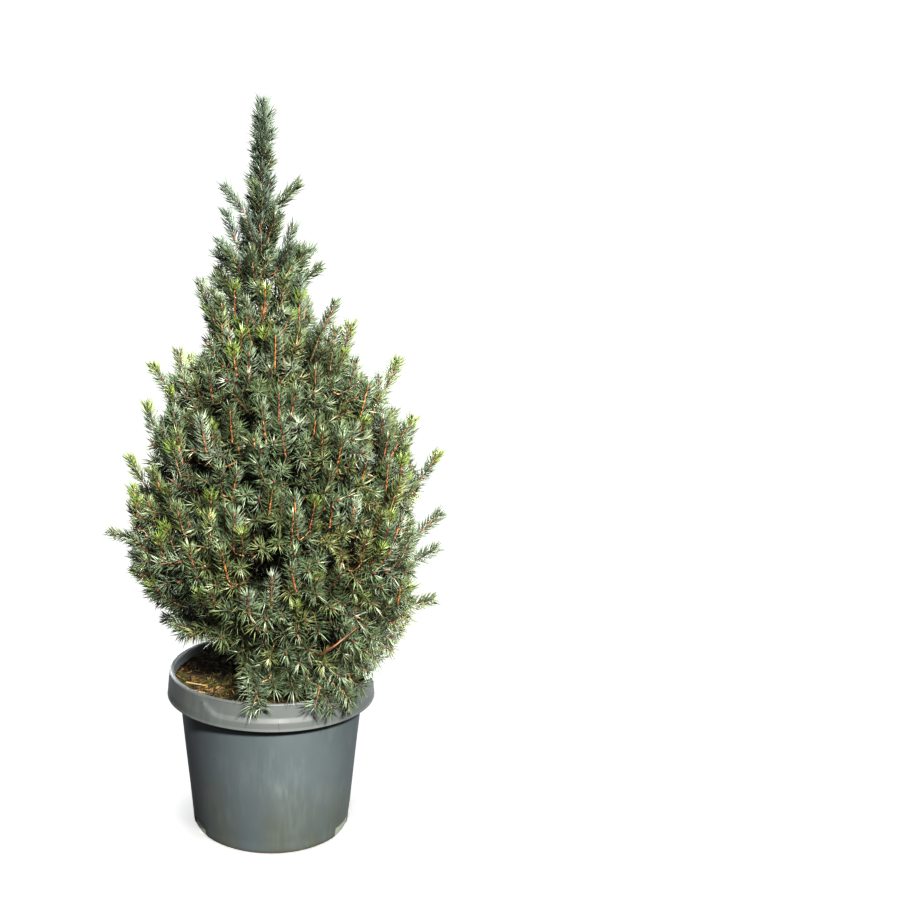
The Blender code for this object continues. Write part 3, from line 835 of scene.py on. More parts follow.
leaderNeedles = {
    # from and to, and how far they spread
    "stretches": ((0.640, 0.700, 0.85), (0.690, 0.780, 0.68), (0.700, 0.779, 0.92), (0.764, 0.779, 0.60),
                  (0.768, 0.779, 0.80)),
    "points": 24,
    "size": 1.08,
    "sizeByRadius": 60,          # longer where the leader is thicker
    "closeFrom": (0.69, 0.097),
}


def leaderStretches(rng):
    count = leaderNeedles["points"]
    for low, high, spread in leaderNeedles["stretches"]:
        heights = np.linspace(low, high, count)
        line = trunkAt(np.minimum(heights, trunkCentres[-1, 2]))
        line[:, 2] = heights
        aim = unit(np.gradient(line, axis=0))
        side = unit(np.cross(aim, unit(rng.normal(size=3))))
        along = shareOf(heights, *leaderNeedles["closeFrom"])
        size = leaderNeedles["size"] + alongTrunk(heights, trunkRadii) * leaderNeedles["sizeByRadius"]
        yield dict(tone="spire", group="outer", line=line, aim=aim, side=side, along=along, size=size,
                   spread=np.full(count, spread), reach=high - low)


def needlePaints():
    paints = {}
    for tone, (green, wax) in needleTones.items():
        sheen = needleSizes["shadeSheen" if tone == "shade" else "sheen"]
        paints[tone] = {"Green": plainMaterial(f"needle_{tone}", green, needleSizes["roughness"], sheen),
                        "Wax": plainMaterial(f"needle_{tone}_wax", wax, needleSizes["waxRoughness"], sheen)}
    return paints


def makeNeedles(shoots):
    rng = np.random.default_rng(needleSizes["seed"] + 1)
    rows = [row for shoot in shoots for row in needleStretches(shoot, rng)] + list(leaderStretches(rng))
    groups = {}
    for row in rows:
        groups.setdefault((row["tone"], row["group"]), []).append(row)
    shape, tree, paints = needleShape(), needleTree(), needlePaints()
    total = 0
    for (tone, group), rows in sorted(groups.items()):
        spacing = needleSizes["spacing"][group]
        counts = np.cumsum([row["reach"] / spacing + 1 for row in rows])
        parts = math.ceil(counts[-1] / needleSizes["perPiece"])
        chunk = np.minimum((counts / counts[-1] * parts).astype(int), parts - 1)
        for part in range(parts):
            chosen = [row for row, own in zip(rows, chunk) if own == part]
            labels = {label: [row[label] for row in chosen] for label in needleLabels}
            guide = pathGuide([row["line"] for row in chosen], labels)
            piece = growPiece(f"needles_{tone}_{group}_{part + 1}", guide, tree, {
                "Needle": shape, "Spacing": spacing, "Seed": needleSizes["seed"] + part,
                **needleSizes["inputs"], **paints[tone]})
            showPiece(piece, "needles", *massNames, *shootNames)
            total += triangleCount(piece)
    bpy.data.objects.remove(shape, do_unlink=True)
    print("needles in all:", total, "triangles")


# colours of each kind of stem and of its flecks
stemColours = {
    "young": ((0.232, 0.103, 0.034), (0.080, 0.034, 0.015)),
    "ruddy": ((0.172, 0.073, 0.034), (0.066, 0.027, 0.014)),
    "brown": ((0.210, 0.115, 0.055), (0.080, 0.040, 0.020)),
    "side": ((0.140, 0.080, 0.036), (0.060, 0.032, 0.016)),
    "twig": ((0.235, 0.145, 0.070), (0.100, 0.055, 0.028)),
}


def tubeTree():
    tree = geometryTree("tubes", (("Sides", "Int"), ("Fleck", "Float"), ("Material", "Material"),
                                  ("Fleck Material", "Material")))
    given = tree.nodes["Group Input"].outputs
    curve = addNode(tree, "GeometryNodeMeshToCurve", Mesh=given["Geometry"]).outputs[0]
    ring = addNode(tree, "GeometryNodeCurvePrimitiveCircle", Resolution=given["Sides"], Radius=1.0).outputs[0]
    tube = addNode(tree, "GeometryNodeCurveToMesh", Curve=curve, Profile_Curve=ring, Fill_Caps=True,
                   Scale=readAttribute(tree, "thick")).outputs[0]
    chance = addNode(tree, "FunctionNodeRandomValue", {"data_type": "BOOLEAN"}, Probability=given["Fleck"])
    return finishTree(tree, tube, (given["Material"], None), (given["Fleck Material"], liveOutput(chance)))


def makeTubes(name, lines, thick, sides, colours, slotName, fleck=0.0):
    paints = [plainMaterial(f"{name}_{part}", colour, 0.6)
              for part, colour in zip(("main", "fleck"), colours)]
    piece = growPiece(name, pathGuide(lines, {"thick": thick}), tubes, {
        "Sides": sides, "Fleck": fleck, "Material": paints[0], "Fleck Material": paints[-1]})
    piece.data.shade_smooth()
    showPiece(piece, slotName)


def makeStems(shoots):
    rng = np.random.default_rng(crownSizes["seed"] + 2)
    for shoot in shoots:
        luck = rng.random()
        if shoot["kind"] not in ("hero", "upright"):
            shoot["bark"] = "side"
        elif shoot["tip"][2] > twigSizes["brownFrom"] or luck > 1 - twigSizes["brownShare"]:
            shoot["bark"] = "brown"
        else:
            shoot["bark"] = "ruddy" if luck < twigSizes["ruddyShare"] else "young"
    for name in ("young", "ruddy", "brown", "side"):
        chosen = [shoot for shoot in shoots if shoot["bark"] == name]
        wide = twigSizes["sideRadius" if name in ("side", "brown") else "stemRadius"]
        count, sides = (5, 4) if name == "side" else (twigSizes["stemPoints"], 5)
        tapers = [np.linspace(wide, wide * twigSizes["taper"], count)
                  * rng.uniform(*twigSizes["uneven"], count) for _ in chosen]
        makeTubes(f"stems_{name}", [bezier(shoot["path"], count) for shoot in chosen], tapers, sides,
                  stemColours[name], "bark", twigSizes["fleck"])
    thick = [np.linspace(*shoot["radii"], twigSizes["twigPoints"]) for shoot in shoots]
    makeTubes("twigs", [shoot["twig"] for shoot in shoots], thick, 5, stemColours["twig"], "bark",
              twigSizes["fleck"])
    count = bareTwig["count"]
    knobs = np.linspace(*bareTwig["thick"], count) * rng.uniform(*bareTwig["uneven"], count)
    makeTubes("bare_twig", [bezier(bareTwig["points"], count)], [knobs], 7, bareTwig["colours"], "bark",
              bareTwig["fleck"])


def scatterTree():
    tree = geometryTree("scattered_things", (("Thing", "Object"), ("Size", "Float"), ("Seed", "Int"),
                                             ("Material", "Material")))
    given = tree.nodes["Group Input"].outputs
    turn = randomBetween(tree, 0.0, 6.283, given["Seed"], 1)    # a whole turn
    spin = addNode(tree, "ShaderNodeCombineXYZ", Z=turn).outputs[0]
    spun = addNode(tree, "FunctionNodeEulerToRotation", Euler=spin).outputs[0]
    turned = addNode(tree, "FunctionNodeAlignRotationToVector", {"axis": "Z"}, Rotation=spun,
                     Vector=readAttribute(tree, "way", "FLOAT_VECTOR")).outputs[0]
    big = doMath(tree, "MULTIPLY", given["Size"], readAttribute(tree, "size"))
    placed = placeCopies(tree, given["Geometry"], given["Thing"], turned, big, big)
    return finishTree(tree, placed, (given["Material"], None))


# copies of a thing, each with its own place, direction and size
def makeScatter(name, thing, places, ways, sizes, size, material, slotName, seed=1):
    guide = guideFrom(places, {"way": ways, "size": sizes})
    values = {"Thing": thing, "Size": size, "Seed": seed, "Material": material}
    showPiece(growPiece(name, guide, scatter, values), slotName)


# a closed turned shape from rings of radius and height, pointed or flat at both ends
def turnedShape(name, rings, sides, squash=1.0):
    points = [(0.0, 0.0, rings[0][1])]
    turns = [math.tau * i / sides for i in range(sides)]
    for radius, height in rings[1:-1]:
        points += [(radius * math.cos(turn), squash * radius * math.sin(turn), height) for turn in turns]
    points.append((0.0, 0.0, rings[-1][1]))
    faces = [(0, 1 + (i + 1) % sides, 1 + i) for i in range(sides)] + ringFaces(1, len(rings) - 3, sides)
    first = 1 + (len(rings) - 3) * sides
    faces += [(first + i, first + (i + 1) % sides, len(points) - 1) for i in range(sides)]
    return newObject(name, meshOf(name, points, faces))


budSizes = {
    "shape": ((0, -0.2), (0.26, 0.0), (0.34, 0.3), (0.2, 0.75), (0, 1.0)),
    "length": 0.0040,
    "sizes": (0.8, 1.2),
    "share": 0.7,                # of the side shoots that end in one
    "colour": (0.100, 0.036, 0.022),
}


def makeBuds(shoots):
    rng = np.random.default_rng(crownSizes["seed"] + 3)
    bud = turnedShape("bud_shape", budSizes["shape"], 6)
    chosen = [shoot for shoot in shoots if shoot["kind"] == "side" and rng.random() < budSizes["share"]]
    makeScatter("buds", bud, [shoot["tip"] for shoot in chosen], [shoot["aim"] for shoot in chosen],
                rng.uniform(*budSizes["sizes"], len(chosen)), budSizes["length"],
                plainMaterial("bud", budSizes["colour"], 0.6), "bark")
    bpy.data.objects.remove(bud, do_unlink=True)


# colour that wanders between two shades, and a mask of spots; used by bark, soil and pot
def mottleGroup():
    inputs = (("Light", "Color"), ("Dark", "Color"), ("Scale", "Float"), ("Stretch", "Vector"),
              ("Contrast", "Float"))
    group = newGroup("mottle", "ShaderNodeTree", inputs, (("Color", "Color"), ("Mask", "Float")))
    given, result = group.nodes["Group Input"].outputs, group.nodes["Group Output"].inputs
    place = doVector(group, "MULTIPLY", objectPlace(group), given["Stretch"])
    cloud = addNode(group, "ShaderNodeTexNoise", Vector=place, Scale=given["Scale"], Detail=5.0)
    centred = doMath(group, "SUBTRACT", cloud.outputs[0], 0.5)
    mask = addNode(group, "ShaderNodeMath", {"operation": "ADD", "use_clamp": True},
                   n0=doMath(group, "MULTIPLY", centred, given["Contrast"]), n1=0.5).outputs[0]
    group.links.new(mixColours(group, mask, given["Dark"], given["Light"]), result["Color"])
    group.links.new(mask, result["Mask"])
    return group


def mottled(tree, light, dark, scale, stretch=(1.0, 1.0, 1.0), contrast=2.5):
    return addNode(tree, "ShaderNodeGroup", {"node_tree": mottle}, Light=(*light, 1.0), Dark=(*dark, 1.0),
                   Scale=scale, Stretch=stretch, Contrast=contrast).outputs


def spots(tree, scale, tall, contrast):
    return mottled(tree, (1, 1, 1), (0, 0, 0), scale, (1.0, 1.0, tall), contrast)["Mask"]


def mixColours(tree, mask, first, second):
    node = addNode(tree, "ShaderNodeMix", {"data_type": "RGBA"}, n0=mask)
    for socket, value in ((node.inputs[6], first), (node.inputs[7], second)):
        if isinstance(value, bpy.types.NodeSocket):
            tree.links.new(value, socket)
        else:
            socket.default_value = (*value, 1.0)
    return node.outputs[2]


barkSizes = {
    "trunkSides": 28,
    "boughSides": 12,
    "ridges": 0.0006,            # height of the scales of bark
    "scales": 210,
    "grain": 480,
    "light": (0.300, 0.190, 0.105),
    "dark": (0.085, 0.050, 0.030),
}


def tubeMesh(line, radii, sides):
    points, ridges = [], barkSizes["ridges"]
    aims = unit(np.gradient(line, axis=0))
    side = unit(np.cross(aims[0], (0.3, 0.9, 0.1)))
    for centre, aim, radius in zip(line, aims, radii):
        side = unit(side - aim * (side @ aim))
        other = np.cross(aim, side)
        for corner in range(sides):
            angle = math.tau * corner / sides
            way = side * math.cos(angle) + other * math.sin(angle)
            bump = wave(*(centre * (1, 1, 0.45) + way * 0.02), barkSizes["scales"])
            bump += 0.6 * wave(*(centre + way * 0.02), barkSizes["grain"])
            points.append(centre + way * (radius + ridges * bump * min(1.0, radius / 0.004)))
    ends = [tuple(range(sides))[::-1], tuple(range(len(points) - sides, len(points)))]
    return points, ringFaces(0, len(line) - 1, sides) + ends


def makeBark():
    heights = np.linspace(trunkCentres[0, 2], trunkCentres[-1, 2], 190)
    lines = [(trunkAt(heights), alongTrunk(heights, trunkRadii), barkSizes["trunkSides"])]
    for name in boughNames:
        start, middle, end, radius = boughLine(name)
        line = bezier([start, middle * 2 - (start + end) / 2, end], 26)
        inward = unit(trunkAt(start[2]) - start)
        line = np.concatenate([[start + inward * 0.006], line])
        wide = np.linspace(radius * 1.5, radius, len(line))
        lines.append((line, wide, barkSizes["boughSides"]))
    points, faces = [], []
    for line, radii, sides in lines:
        more, rings = tubeMesh(line, radii, sides)
        faces += [tuple(corner + len(points) for corner in face) for face in rings]
        points += more
    material = plainMaterial("bark", barkSizes["light"], 0.8, 0.3)
    tree = material.node_tree
    colour = mottled(tree, barkSizes["light"], barkSizes["dark"], 260.0, (1.0, 1.0, 0.35), 3.5)["Color"]
    feedShader(tree, "Base Color", colour)
    piece = newObject("bark", meshOf("bark", points, faces), material)
    piece.data.shade_smooth()
    showPiece(piece, "bark", "trunk", *boughNames)


potSizes = {
    "sides": 192,
    "wallAt": ((0.003, 0.0846), (0.148, 0.0990), (0.167, 0.1075), (0.175, 0.1080)),
    "collarAt": ((0.148, 0.1150), (0.157, 0.1147), (0.174, 0.1129)),
    "panelAt": ((0.148, 0.1150), (0.1565, 0.1147), (0.1612, 0.1129), (0.174, 0.1121)),
    "collarHeights": (0.1490, 0.1745),
    "panelFrom": -39.0,          # the sunk panel at the front, in degrees from the front
    "panelTo": 24.0,
    "panelRise": 0.0135,         # its left end curves up by this much
    "bodyAt": ((0.002, 0.0876), (0.148, 0.1020)),
    "notches": (-64.0, 64.0, 116.0, -116.0),
    "notchWide": 0.034,
    "notchTall": 0.0100,
    "notchDeep": 0.0018,
    "footRadius": 0.088,
    "seam": 4.2,                 # a moulding seam on the collar, in degrees from the front
    "seamHeights": (0.149, 0.158),
    "seamProud": 0.0003,
    "wallHeights": (0.01, 0.146),
    "wander": 0.00035,           # how far the wall is from perfectly round
    "light": (0.062, 0.076, 0.080),
    "dark": (0.046, 0.057, 0.062),
    "paintedShadeLeft": (0.041, 0.048, 0.054),   # the left side, darker: painted shade
    "collar": (0.054, 0.061, 0.061),
    # painted shadow: a dark band on the wall just under the collar's overhang
    "underCollarShade": (0.016, 0.018, 0.020),
    "recess": (0.130, 0.148, 0.124),    # inside the notches, paler than the plastic: painted light
    # painted light, paler still in the notches on the left
    "recessLeft": (0.240, 0.270, 0.225),
    "recessFrom": 0.0866,        # what is nearer the middle than this is in a notch
    "leftFrom": (-0.015, -0.085),
    "dirt": (0.042, 0.044, 0.031),
    "dirtTop": 0.085,
    "collarEdge": (0.1440, 0.1465),
    # heights over which the painted shadow under the collar fades in
    "underCollarShadeEdge": (0.1375, 0.1400),
    "footEdge": (0.0035, 0.0005),
    "foot": (0.060, 0.045, 0.025),
    "scuffed": (0.240, 0.260, 0.250),
    "rough": 0.40,
}

# small marks on the wall: degrees from the front, height, half width, half height, colour
potMarks = (
    (-38.0, 0.1010, 0.0018, 0.0013, (0.008, 0.008, 0.008)),
    (-30.5, 0.0700, 0.0010, 0.0050, (0.034, 0.032, 0.030)),
    (3.6, 0.0775, 0.0018, 0.0060, (0.110, 0.122, 0.116)),
    (5.8, 0.0735, 0.0022, 0.0080, (0.120, 0.134, 0.126)),
    (8.2, 0.0790, 0.0016, 0.0070, (0.110, 0.122, 0.116)),
    (10.0, 0.0720, 0.0016, 0.0050, (0.104, 0.116, 0.110)),
    (-44.0, 0.0560, 0.0010, 0.0070, (0.050, 0.056, 0.056)),
    (20.0, 0.1060, 0.0014, 0.0030, (0.100, 0.112, 0.108)),
)

# the pot's section, radius and height, from the middle of its floor up, over the lip and down to its foot
potProfile = {
    "floor": ((0.0, 0.010), (0.05, 0.010), (0.078, 0.010), (0.084, 0.012)),
    "wall": (0.016, 0.05, 0.10, 0.148, 0.155, 0.160, 0.164, 0.167, 0.171, 0.1745),
    "lip": ((0.1084, 0.1755), (0.1092, 0.1761), (0.1112, 0.1761), (0.1120, 0.1756), (0.1125, 0.1747)),
    "under": ((0.1156, 0.1484), (0.1156, 0.1480), (0.1112, 0.1480), (0.1102, 0.1486), (0.1100, 0.1520),
              (0.1028, 0.1520), (0.1021, 0.1512)),
    "foot": ((0.0878, 0.0045), (0.0876, 0.002), (0.0869, 0.0006), (0.0858, 0.0), (0.080, 0.0), (0.05, 0.0),
             (0.0, 0.0)),
}


def isWithin(value, ends):
    return ends[0] < value < ends[1]


# the outside's radius with its panel, notches, seam and slight unevenness
def potRadius(radius, height, degrees):
    first, last = potSizes["panelFrom"], potSizes["panelTo"]
    if radius > 0.112 and isWithin(height, potSizes["collarHeights"]):
        inPanel = smoothStep(first - 1, first + 2, degrees) * (1 - smoothStep(last - 6, last + 8, degrees))
        rise = potSizes["panelRise"] * (1 - smoothStep(first - 1, first + 14, degrees)) ** 2
        sunk = tableAt(potSizes["panelAt"], height - rise)
        radius = sunk * inPanel + tableAt(potSizes["collarAt"], height) * (1 - inPanel)
    if height < potSizes["notchTall"] - 0.0002:
        for middle in potSizes["notches"]:
            gap = abs((degrees - middle + 180) % 360 - 180)
            if math.radians(gap) * potSizes["footRadius"] < potSizes["notchWide"] / 2:
                radius = min(radius, potSizes["footRadius"] + 0.0002 - potSizes["notchDeep"])
    if isWithin(height, potSizes["seamHeights"]) and abs(degrees - potSizes["seam"]) < 0.3:
        radius += potSizes["seamProud"]
    if isWithin(height, potSizes["wallHeights"]):
        angle = math.radians(degrees)
        radius += potSizes["wander"] * wave(math.cos(angle), math.sin(angle), height * 9, 1.6)
    return radius


def potMaterial():
    material = plainMaterial("pot_plastic", potSizes["light"], potSizes["rough"], 0.5)
    tree = material.node_tree
    place = objectPlace(tree)
    height = addNode(tree, "ShaderNodeSeparateXYZ", Vector=place).outputs["Z"]
    body = mottled(tree, potSizes["light"], potSizes["dark"], 14.0, (1.0, 1.0, 0.7), 2.2)["Color"]
    across = addNode(tree, "ShaderNodeSeparateXYZ", Vector=place).outputs["X"]
    # painted shade: the wall darkens towards the left
    left = ramp(tree, across, *potSizes["leftFrom"], 0.0, 0.75)
    body = mixColours(tree, left, body, potSizes["paintedShadeLeft"])
    above = ramp(tree, height, *potSizes["collarEdge"])
    body = mixColours(tree, above, body, potSizes["collar"])
    # painted shadow under the collar
    underCollarShade = doMath(tree, "MULTIPLY", ramp(tree, height, *potSizes["underCollarShadeEdge"]),
                    doMath(tree, "SUBTRACT", 1.0, above))
    body = mixColours(tree, underCollarShade, body, potSizes["underCollarShade"])
    low = ramp(tree, height, potSizes["dirtTop"], 0.0, 0.0, 0.90)
    patches = spots(tree, 26.0, 0.5, 3.0)
    soiled = mixColours(tree, doMath(tree, "MULTIPLY", low, patches), body, potSizes["dirt"])
    edged = mixColours(tree, ramp(tree, height, *potSizes["footEdge"], 0.0, 0.8), soiled, potSizes["foot"])
    scuffs = doMath(tree, "MULTIPLY", spots(tree, 190.0, 0.12, 9.0), spots(tree, 17.0, 1.0, 9.0), 0.035)
    final = mixColours(tree, scuffs, edged, potSizes["scuffed"])
    for degrees, level, wide, tall, colour in potMarks:
        radius, turn = float(tableAt(potSizes["bodyAt"], level)), math.radians(degrees)
        gap = doVector(tree, "SUBTRACT", place, (radius * math.sin(turn), -radius * math.cos(turn), level))
        far = doVector(tree, "LENGTH", doVector(tree, "DIVIDE", gap, (wide, wide, tall)), result="Value")
        final = mixColours(tree, ramp(tree, far, 1.5, 0.2, 0.0, 0.22), final, colour)
    away = doVector(tree, "LENGTH", doVector(tree, "MULTIPLY", place, (1.0, 1.0, 0.0)), result="Value")
    # painted light: the notches are coloured paler, more so on the left
    sunk = ramp(tree, away, potSizes["recessFrom"] + 0.0002, potSizes["recessFrom"])
    recess = mixColours(tree, left, potSizes["recess"], potSizes["recessLeft"])
    feedShader(tree, "Base Color", mixColours(tree, sunk, final, recess))
    rough = ramp(tree, patches, 0.0, 1.0, potSizes["rough"] - 0.05, potSizes["rough"] + 0.12)
    feedShader(tree, "Roughness", doMath(tree, "ADD", rough, doMath(tree, "MULTIPLY", above, 0.20)))
    return material


def makePot():
    inside = list(potProfile["floor"])
    inside += [(float(tableAt(potSizes["wallAt"], height)), height) for height in potProfile["wall"]]
    outside = list(potProfile["lip"]) + [(0.1125, height) for height in np.arange(0.1742, 0.1499, -0.0008)]
    body = [(float(tableAt(potSizes["bodyAt"], height)), height)
            for height in np.arange(0.147, 0.009, -0.006)]
    tall = potSizes["notchTall"]
    outside += [*potProfile["under"], *body, (0.0882, tall), (0.0882, tall - 0.0004), *potProfile["foot"]]
    profile = [(*row, False) for row in inside] + [(*row, True) for row in outside]
    degrees = set(np.round(np.arange(potSizes["sides"]) * 360 / potSizes["sides"] - 180, 3))
    for middle in potSizes["notches"]:
        for edge in (-1, 1):
            corner = middle + edge * math.degrees(potSizes["notchWide"] / 2 / potSizes["footRadius"])
            degrees.update((round(corner - 0.12, 3), round(corner + 0.12, 3)))
    degrees.update(potSizes["seam"] + step for step in (-0.5, -0.2, 0.0, 0.2, 0.5))
    degrees = sorted(degrees)
    sides = len(degrees)
    points, faces, rings = [], [], []
    for radius, height, isOutside in profile:
        if radius == 0:
            rings.append([len(points)] * sides)
            points.append((0.0, 0.0, height))
            continue
        rings.append(list(range(len(points), len(points) + sides)))
        for turn in degrees:
            reach, angle = potRadius(radius, height, turn) if isOutside else radius, math.radians(turn)
            points.append((reach * math.sin(angle), -reach * math.cos(angle), height))
    for lower, upper in zip(rings, rings[1:]):
        for i in range(sides):
            face = (lower[i], upper[i], upper[(i + 1) % sides], lower[(i + 1) % sides])
            faces.append(tuple(dict.fromkeys(face)))
    mesh = meshOf("pot", points, faces)
    mesh.set_sharp_from_angle(angle=math.radians(28))
    piece = newObject("pot", mesh, potMaterial())
    showPiece(piece, "pot_plastic", "pot")


soilSizes = {
    "level": 0.1655,
    "rim": 0.1064,
    "underside": 0.1585,
    "bumps": 0.0022,
    "rings": 44,
    "sides": 120,
    "light": (0.036, 0.025, 0.013),
    "dark": (0.008, 0.006, 0.004),
    "mossTint": (0.074, 0.070, 0.016),
}


def soilHeight(x, y):
    return soilSizes["level"] + soilSizes["bumps"] * (wave(x, y, 0.3, 55) + 0.5 * wave(x, y, 0.9, 160))


def soilMaterial():
    material = plainMaterial("soil", soilSizes["dark"], 0.95, 0.2)
    tree = material.node_tree
    colour = mottled(tree, soilSizes["light"], soilSizes["dark"], 210.0, contrast=4.0)["Color"]
    mossy = doMath(tree, "MULTIPLY", spots(tree, 38.0, 1.0, 7.0), 0.6)
    feedShader(tree, "Base Color", mixColours(tree, mossy, colour, soilSizes["mossTint"]))
    return material


def makeSoil():
    rings, sides = soilSizes["rings"], soilSizes["sides"]
    points = [(0.0, 0.0, soilHeight(0, 0))]
    for ring in range(1, rings + 1):
        radius = soilSizes["rim"] * ring / rings
        for corner in range(sides):
            angle = math.tau * corner / sides
            x, y = radius * math.cos(angle), radius * math.sin(angle)
            points.append((x, y, soilHeight(x, y)))
    points += [(0.97 * x, 0.97 * y, soilSizes["underside"]) for x, y, _ in points[-sides:]]
    faces = [(0, 1 + corner, 1 + (corner + 1) % sides) for corner in range(sides)]
    faces += [(a, d, c, b) for a, b, c, d in ringFaces(1, rings, sides)]
    faces.append(tuple(range(len(points) - sides, len(points)))[::-1])
    piece = newObject("soil", meshOf("soil", points, faces), soilMaterial())
    piece.data.shade_smooth()
    showPiece(piece, "soil", "soil")


litterSizes = {
    "seed": 11,
    # forms: size, its range and power, height above the soil, how upright, how stray, roughness
    "chip": (0.0028, (0.4, 1.3), 1.5, 0.0006, 1.0, (0.45, 0.45, 0.45), 0.9),
    "moss": (0.0036, (0.6, 1.3), 1.0, 0.0006, 1.0, (0.7, 0.7, 0.7), 0.8),
    "needle": (0.0095, (0.7, 1.2), 1.0, 0.0014, 0.0, (1.0, 1.0, 0.18), 0.8),
    "blades": 7,                 # in one head of moss, and how far they stand apart
    "bladeSpread": (0.0016, 0.0016, 0.0002),
}

# what lies on the soil: form, how many, seed, colour
litterPieces = {
    "chips_umber": ("chip", 900, 0, (0.022, 0.015, 0.009)),
    "chips_tan": ("chip", 300, 1, (0.118, 0.082, 0.036)),
    "chips_rust": ("chip", 300, 2, (0.074, 0.032, 0.013)),
    "moss": ("moss", 520, 5, (0.058, 0.060, 0.011)),
    "moss_dark": ("moss", 520, 6, (0.020, 0.027, 0.008)),
    "litter_tan": ("needle", 520, 9, (0.138, 0.100, 0.042)),
    "litter_brown": ("needle", 520, 10, (0.060, 0.032, 0.016)),
}


# places all over the soil, or only where the moss grows
def litterPlaces(rng, count, lift, patchy):
    radius = soilSizes["rim"] * 0.97 * np.sqrt(rng.uniform(0.02, 1, count))
    angle = rng.uniform(0, math.tau, count)
    places = np.stack([radius * np.cos(angle), radius * np.sin(angle), np.zeros(count)], 1)
    if patchy:
        places = places[[wave(x, y, 2.7, 38) > -0.02 for x, y, _ in places]]
    places[:, 2] = [soilHeight(x, y) + lift for x, y, _ in places]
    return places


def makeLitter():
    rng = np.random.default_rng(litterSizes["seed"])
    chip = turnedShape("chip_shape", ((0, -0.18), (0.9, -0.12), (1.0, 0.1), (0, 0.2)), 5, 0.55)
    blade = turnedShape("blade_shape", ((0, 0), (0.09, 0.35), (0, 1.0)), 3)
    for name, (form, count, seed, colour) in litterPieces.items():
        size, span, power, lift, upright, stray, roughness = litterSizes[form]
        places = litterPlaces(rng, count, lift, form == "moss")
        if form == "moss":
            places = np.repeat(places, litterSizes["blades"], 0)
            places = places + rng.normal(size=places.shape) * litterSizes["bladeSpread"]
        ways = unit(upright * up + rng.normal(size=places.shape) * stray)
        sizes = rng.uniform(*span, len(places)) ** power
        paint = plainMaterial(name.replace("chips", "chip"), colour, roughness, 0.2)
        makeScatter(name, chip if form == "chip" else blade, places, ways, sizes, size, paint, "soil", seed)
    for shape in (chip, blade):
        bpy.data.objects.remove(shape, do_unlink=True)


strawSizes = {
    "thick": (0.0011, 0.0007),
    "colour": (0.20, 0.155, 0.075),
    "lift": 0.0022,
    "tilt": 0.0006,
    # from and to
    "ends": (((-0.092, -0.030), (-0.070, -0.043)), ((-0.060, -0.078), (-0.030, -0.088)),
             ((-0.083, -0.052), (-0.070, -0.061)), ((0.052, 0.070), (0.075, 0.052)),
             ((-0.030, 0.085), (-0.052, 0.070))),
}


def makeStraws():
    lines = []
    for first, last in strawSizes["ends"]:
        line = np.linspace((*first, 0.0), (*last, 0.0), 7)
        line[:, 2] = [soilHeight(x, y) + strawSizes["lift"] for x, y, _ in line]
        line[:, 2] = line[:, 2].mean() + strawSizes["tilt"] * np.linspace(-1, 1, 7)
        lines.append(line)
    thick = [np.linspace(*strawSizes["thick"], 7) for _ in lines]
    makeTubes("straws", lines, thick, 6, [strawSizes["colour"]], "soil")


stageSizes = {
    "floor": 60.0,
    "paper": (0.94, 0.94, 0.94),
    "cameraPlace": (0.0, -1.0732, 0.5724),
    "cameraPitch": 8.135,
    "lens": 40.0,
    "shift": 0.1989,
    "paperGlow": 0.52,           # as the camera sees it
    "footShade": 0.80,           # share of that glow left where the pot meets the paper
    "footMiddle": (0.0, 0.006, 0.0),
    "footReach": (0.086, 0.120),
    "skyShown": 0.745,
    "skyStrength": 0.25,         # as it lights the plant
    "keyPlace": (0.60, -2.26, 1.74),
    "keySize": 0.26,
    "keyPower": 350.0,
    "rimPlaces": ((-1.3, 2.4, 0.75), (1.6, 2.2, 0.75)),
    "rimSize": 1.4,
    "rimPower": 130.0,
    "exposure": 0.54,
    "gamma": 0.727,
}


def addLight(name, place, size, power, colour):
    lamp = bpy.data.lights.new(name, "AREA")
    lamp.shape, lamp.size, lamp.energy, lamp.color = "DISK", size, power, colour
    light = bpy.data.objects.new(name, lamp)
    light.location = place
    light.rotation_euler = (Vector((0.0, 0.0, 0.38)) - Vector(place)).to_track_quat("-Z", "Y").to_euler()
    bpy.context.scene.collection.objects.link(light)
    return light


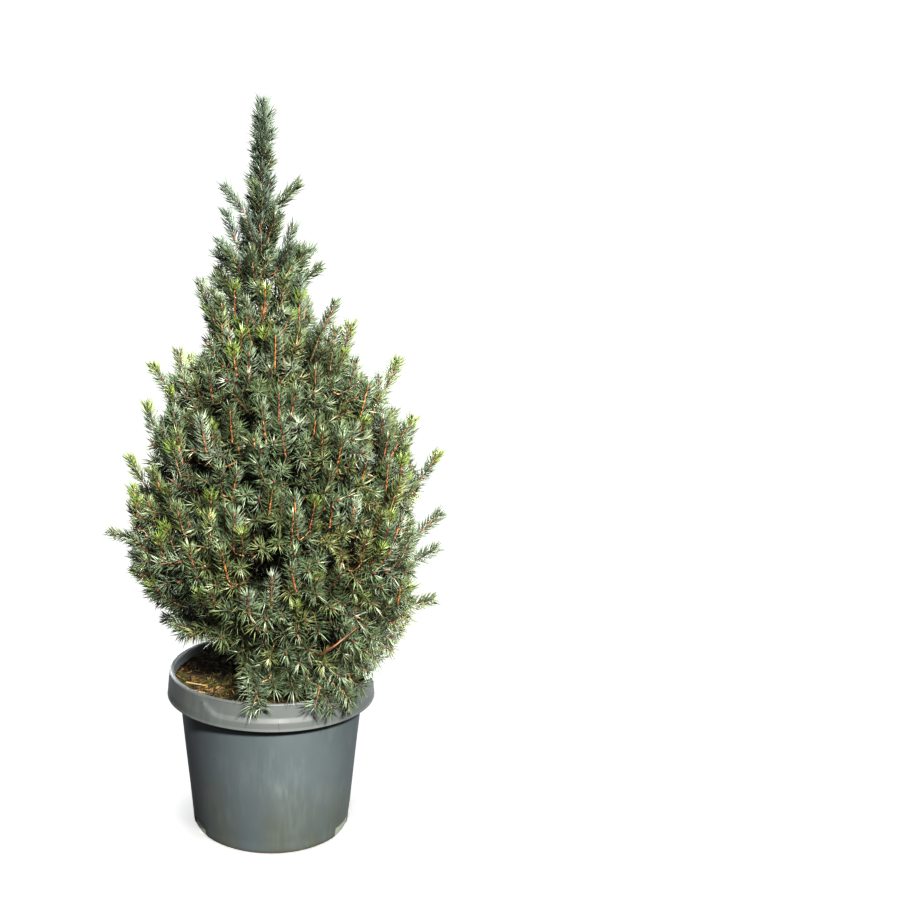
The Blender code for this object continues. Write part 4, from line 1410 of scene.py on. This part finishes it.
def makeStage():
    scene = bpy.context.scene
    half = stageSizes["floor"] / 2
    corners = [(-half, -half, 0), (half, -half, 0), (half, half, 0), (-half, half, 0)]
    mesh = meshOf("floor", corners, [(0, 1, 2, 3)])
    paper = plainMaterial("paper", stageSizes["paper"], 1.0, 0.0)
    tree = paper.node_tree
    tree.nodes["Principled BSDF"].inputs["Emission Color"].default_value = (1.0, 1.0, 1.0, 1.0)
    far = doVector(tree, "DISTANCE", objectPlace(tree), stageSizes["footMiddle"], "Value")
    glow, shade = stageSizes["paperGlow"], stageSizes["footShade"]
    bright = ramp(tree, far, *stageSizes["footReach"], glow * shade, glow, "SMOOTHSTEP")
    seen = addNode(tree, "ShaderNodeLightPath").outputs["Is Camera Ray"]
    feedShader(tree, "Emission Strength", doMath(tree, "MULTIPLY", seen, bright))
    floor = newObject("floor", mesh, paper)
    world = bpy.data.worlds.new("studio")
    world.use_nodes = True
    tree = world.node_tree
    tree.nodes["Background"].inputs["Color"].default_value = (1.0, 1.0, 1.0, 1.0)
    seen = addNode(tree, "ShaderNodeLightPath").outputs["Is Camera Ray"]
    shown = ramp(tree, seen, 0.0, 1.0, stageSizes["skyStrength"], stageSizes["skyShown"])
    tree.links.new(shown, tree.nodes["Background"].inputs["Strength"])
    scene.world = world
    skips = bpy.data.collections.new("unlit_floor")  # the key light leaves the floor evenly white
    skips.objects.link(floor)
    skips.collection_objects[0].light_linking.link_state = "EXCLUDE"
    lights = [addLight("key", stageSizes["keyPlace"], stageSizes["keySize"], stageSizes["keyPower"],
                       (1.0, 0.96, 0.90))]
    lights += [addLight("rim", place, stageSizes["rimSize"], stageSizes["rimPower"], (0.92, 0.96, 1.0))
               for place in stageSizes["rimPlaces"]]
    for light in lights:
        light.light_linking.receiver_collection = skips
    camera = bpy.data.objects.new("camera", bpy.data.cameras.new("camera"))
    camera.data.lens = stageSizes["lens"]
    camera.data.shift_x = stageSizes["shift"]
    camera.location = stageSizes["cameraPlace"]
    camera.rotation_euler = (math.radians(90 - stageSizes["cameraPitch"]), 0.0, 0.0)
    scene.collection.objects.link(camera)
    scene.camera = camera
    scene.view_settings.view_transform = "Standard"
    scene.view_settings.exposure = stageSizes["exposure"]
    scene.view_settings.gamma = stageSizes["gamma"]


tubes, scatter, mottle = tubeTree(), scatterTree(), mottleGroup()
crown = planShoots()
for massName in massNames:
    growTwigs(massName, [shoot for shoot in crown if shoot["owner"] == massName])
dealTones(crown)
for kind in ("hero", "rim", "upright", "side", "inner"):
    print(kind, "shoots:", sum(shoot["kind"] == kind for shoot in crown))
makeNeedles(crown)
makeStems(crown)
makeBuds(crown)
makeBark()
makePot()
makeSoil()
makeLitter()
makeStraws()
makeStage()
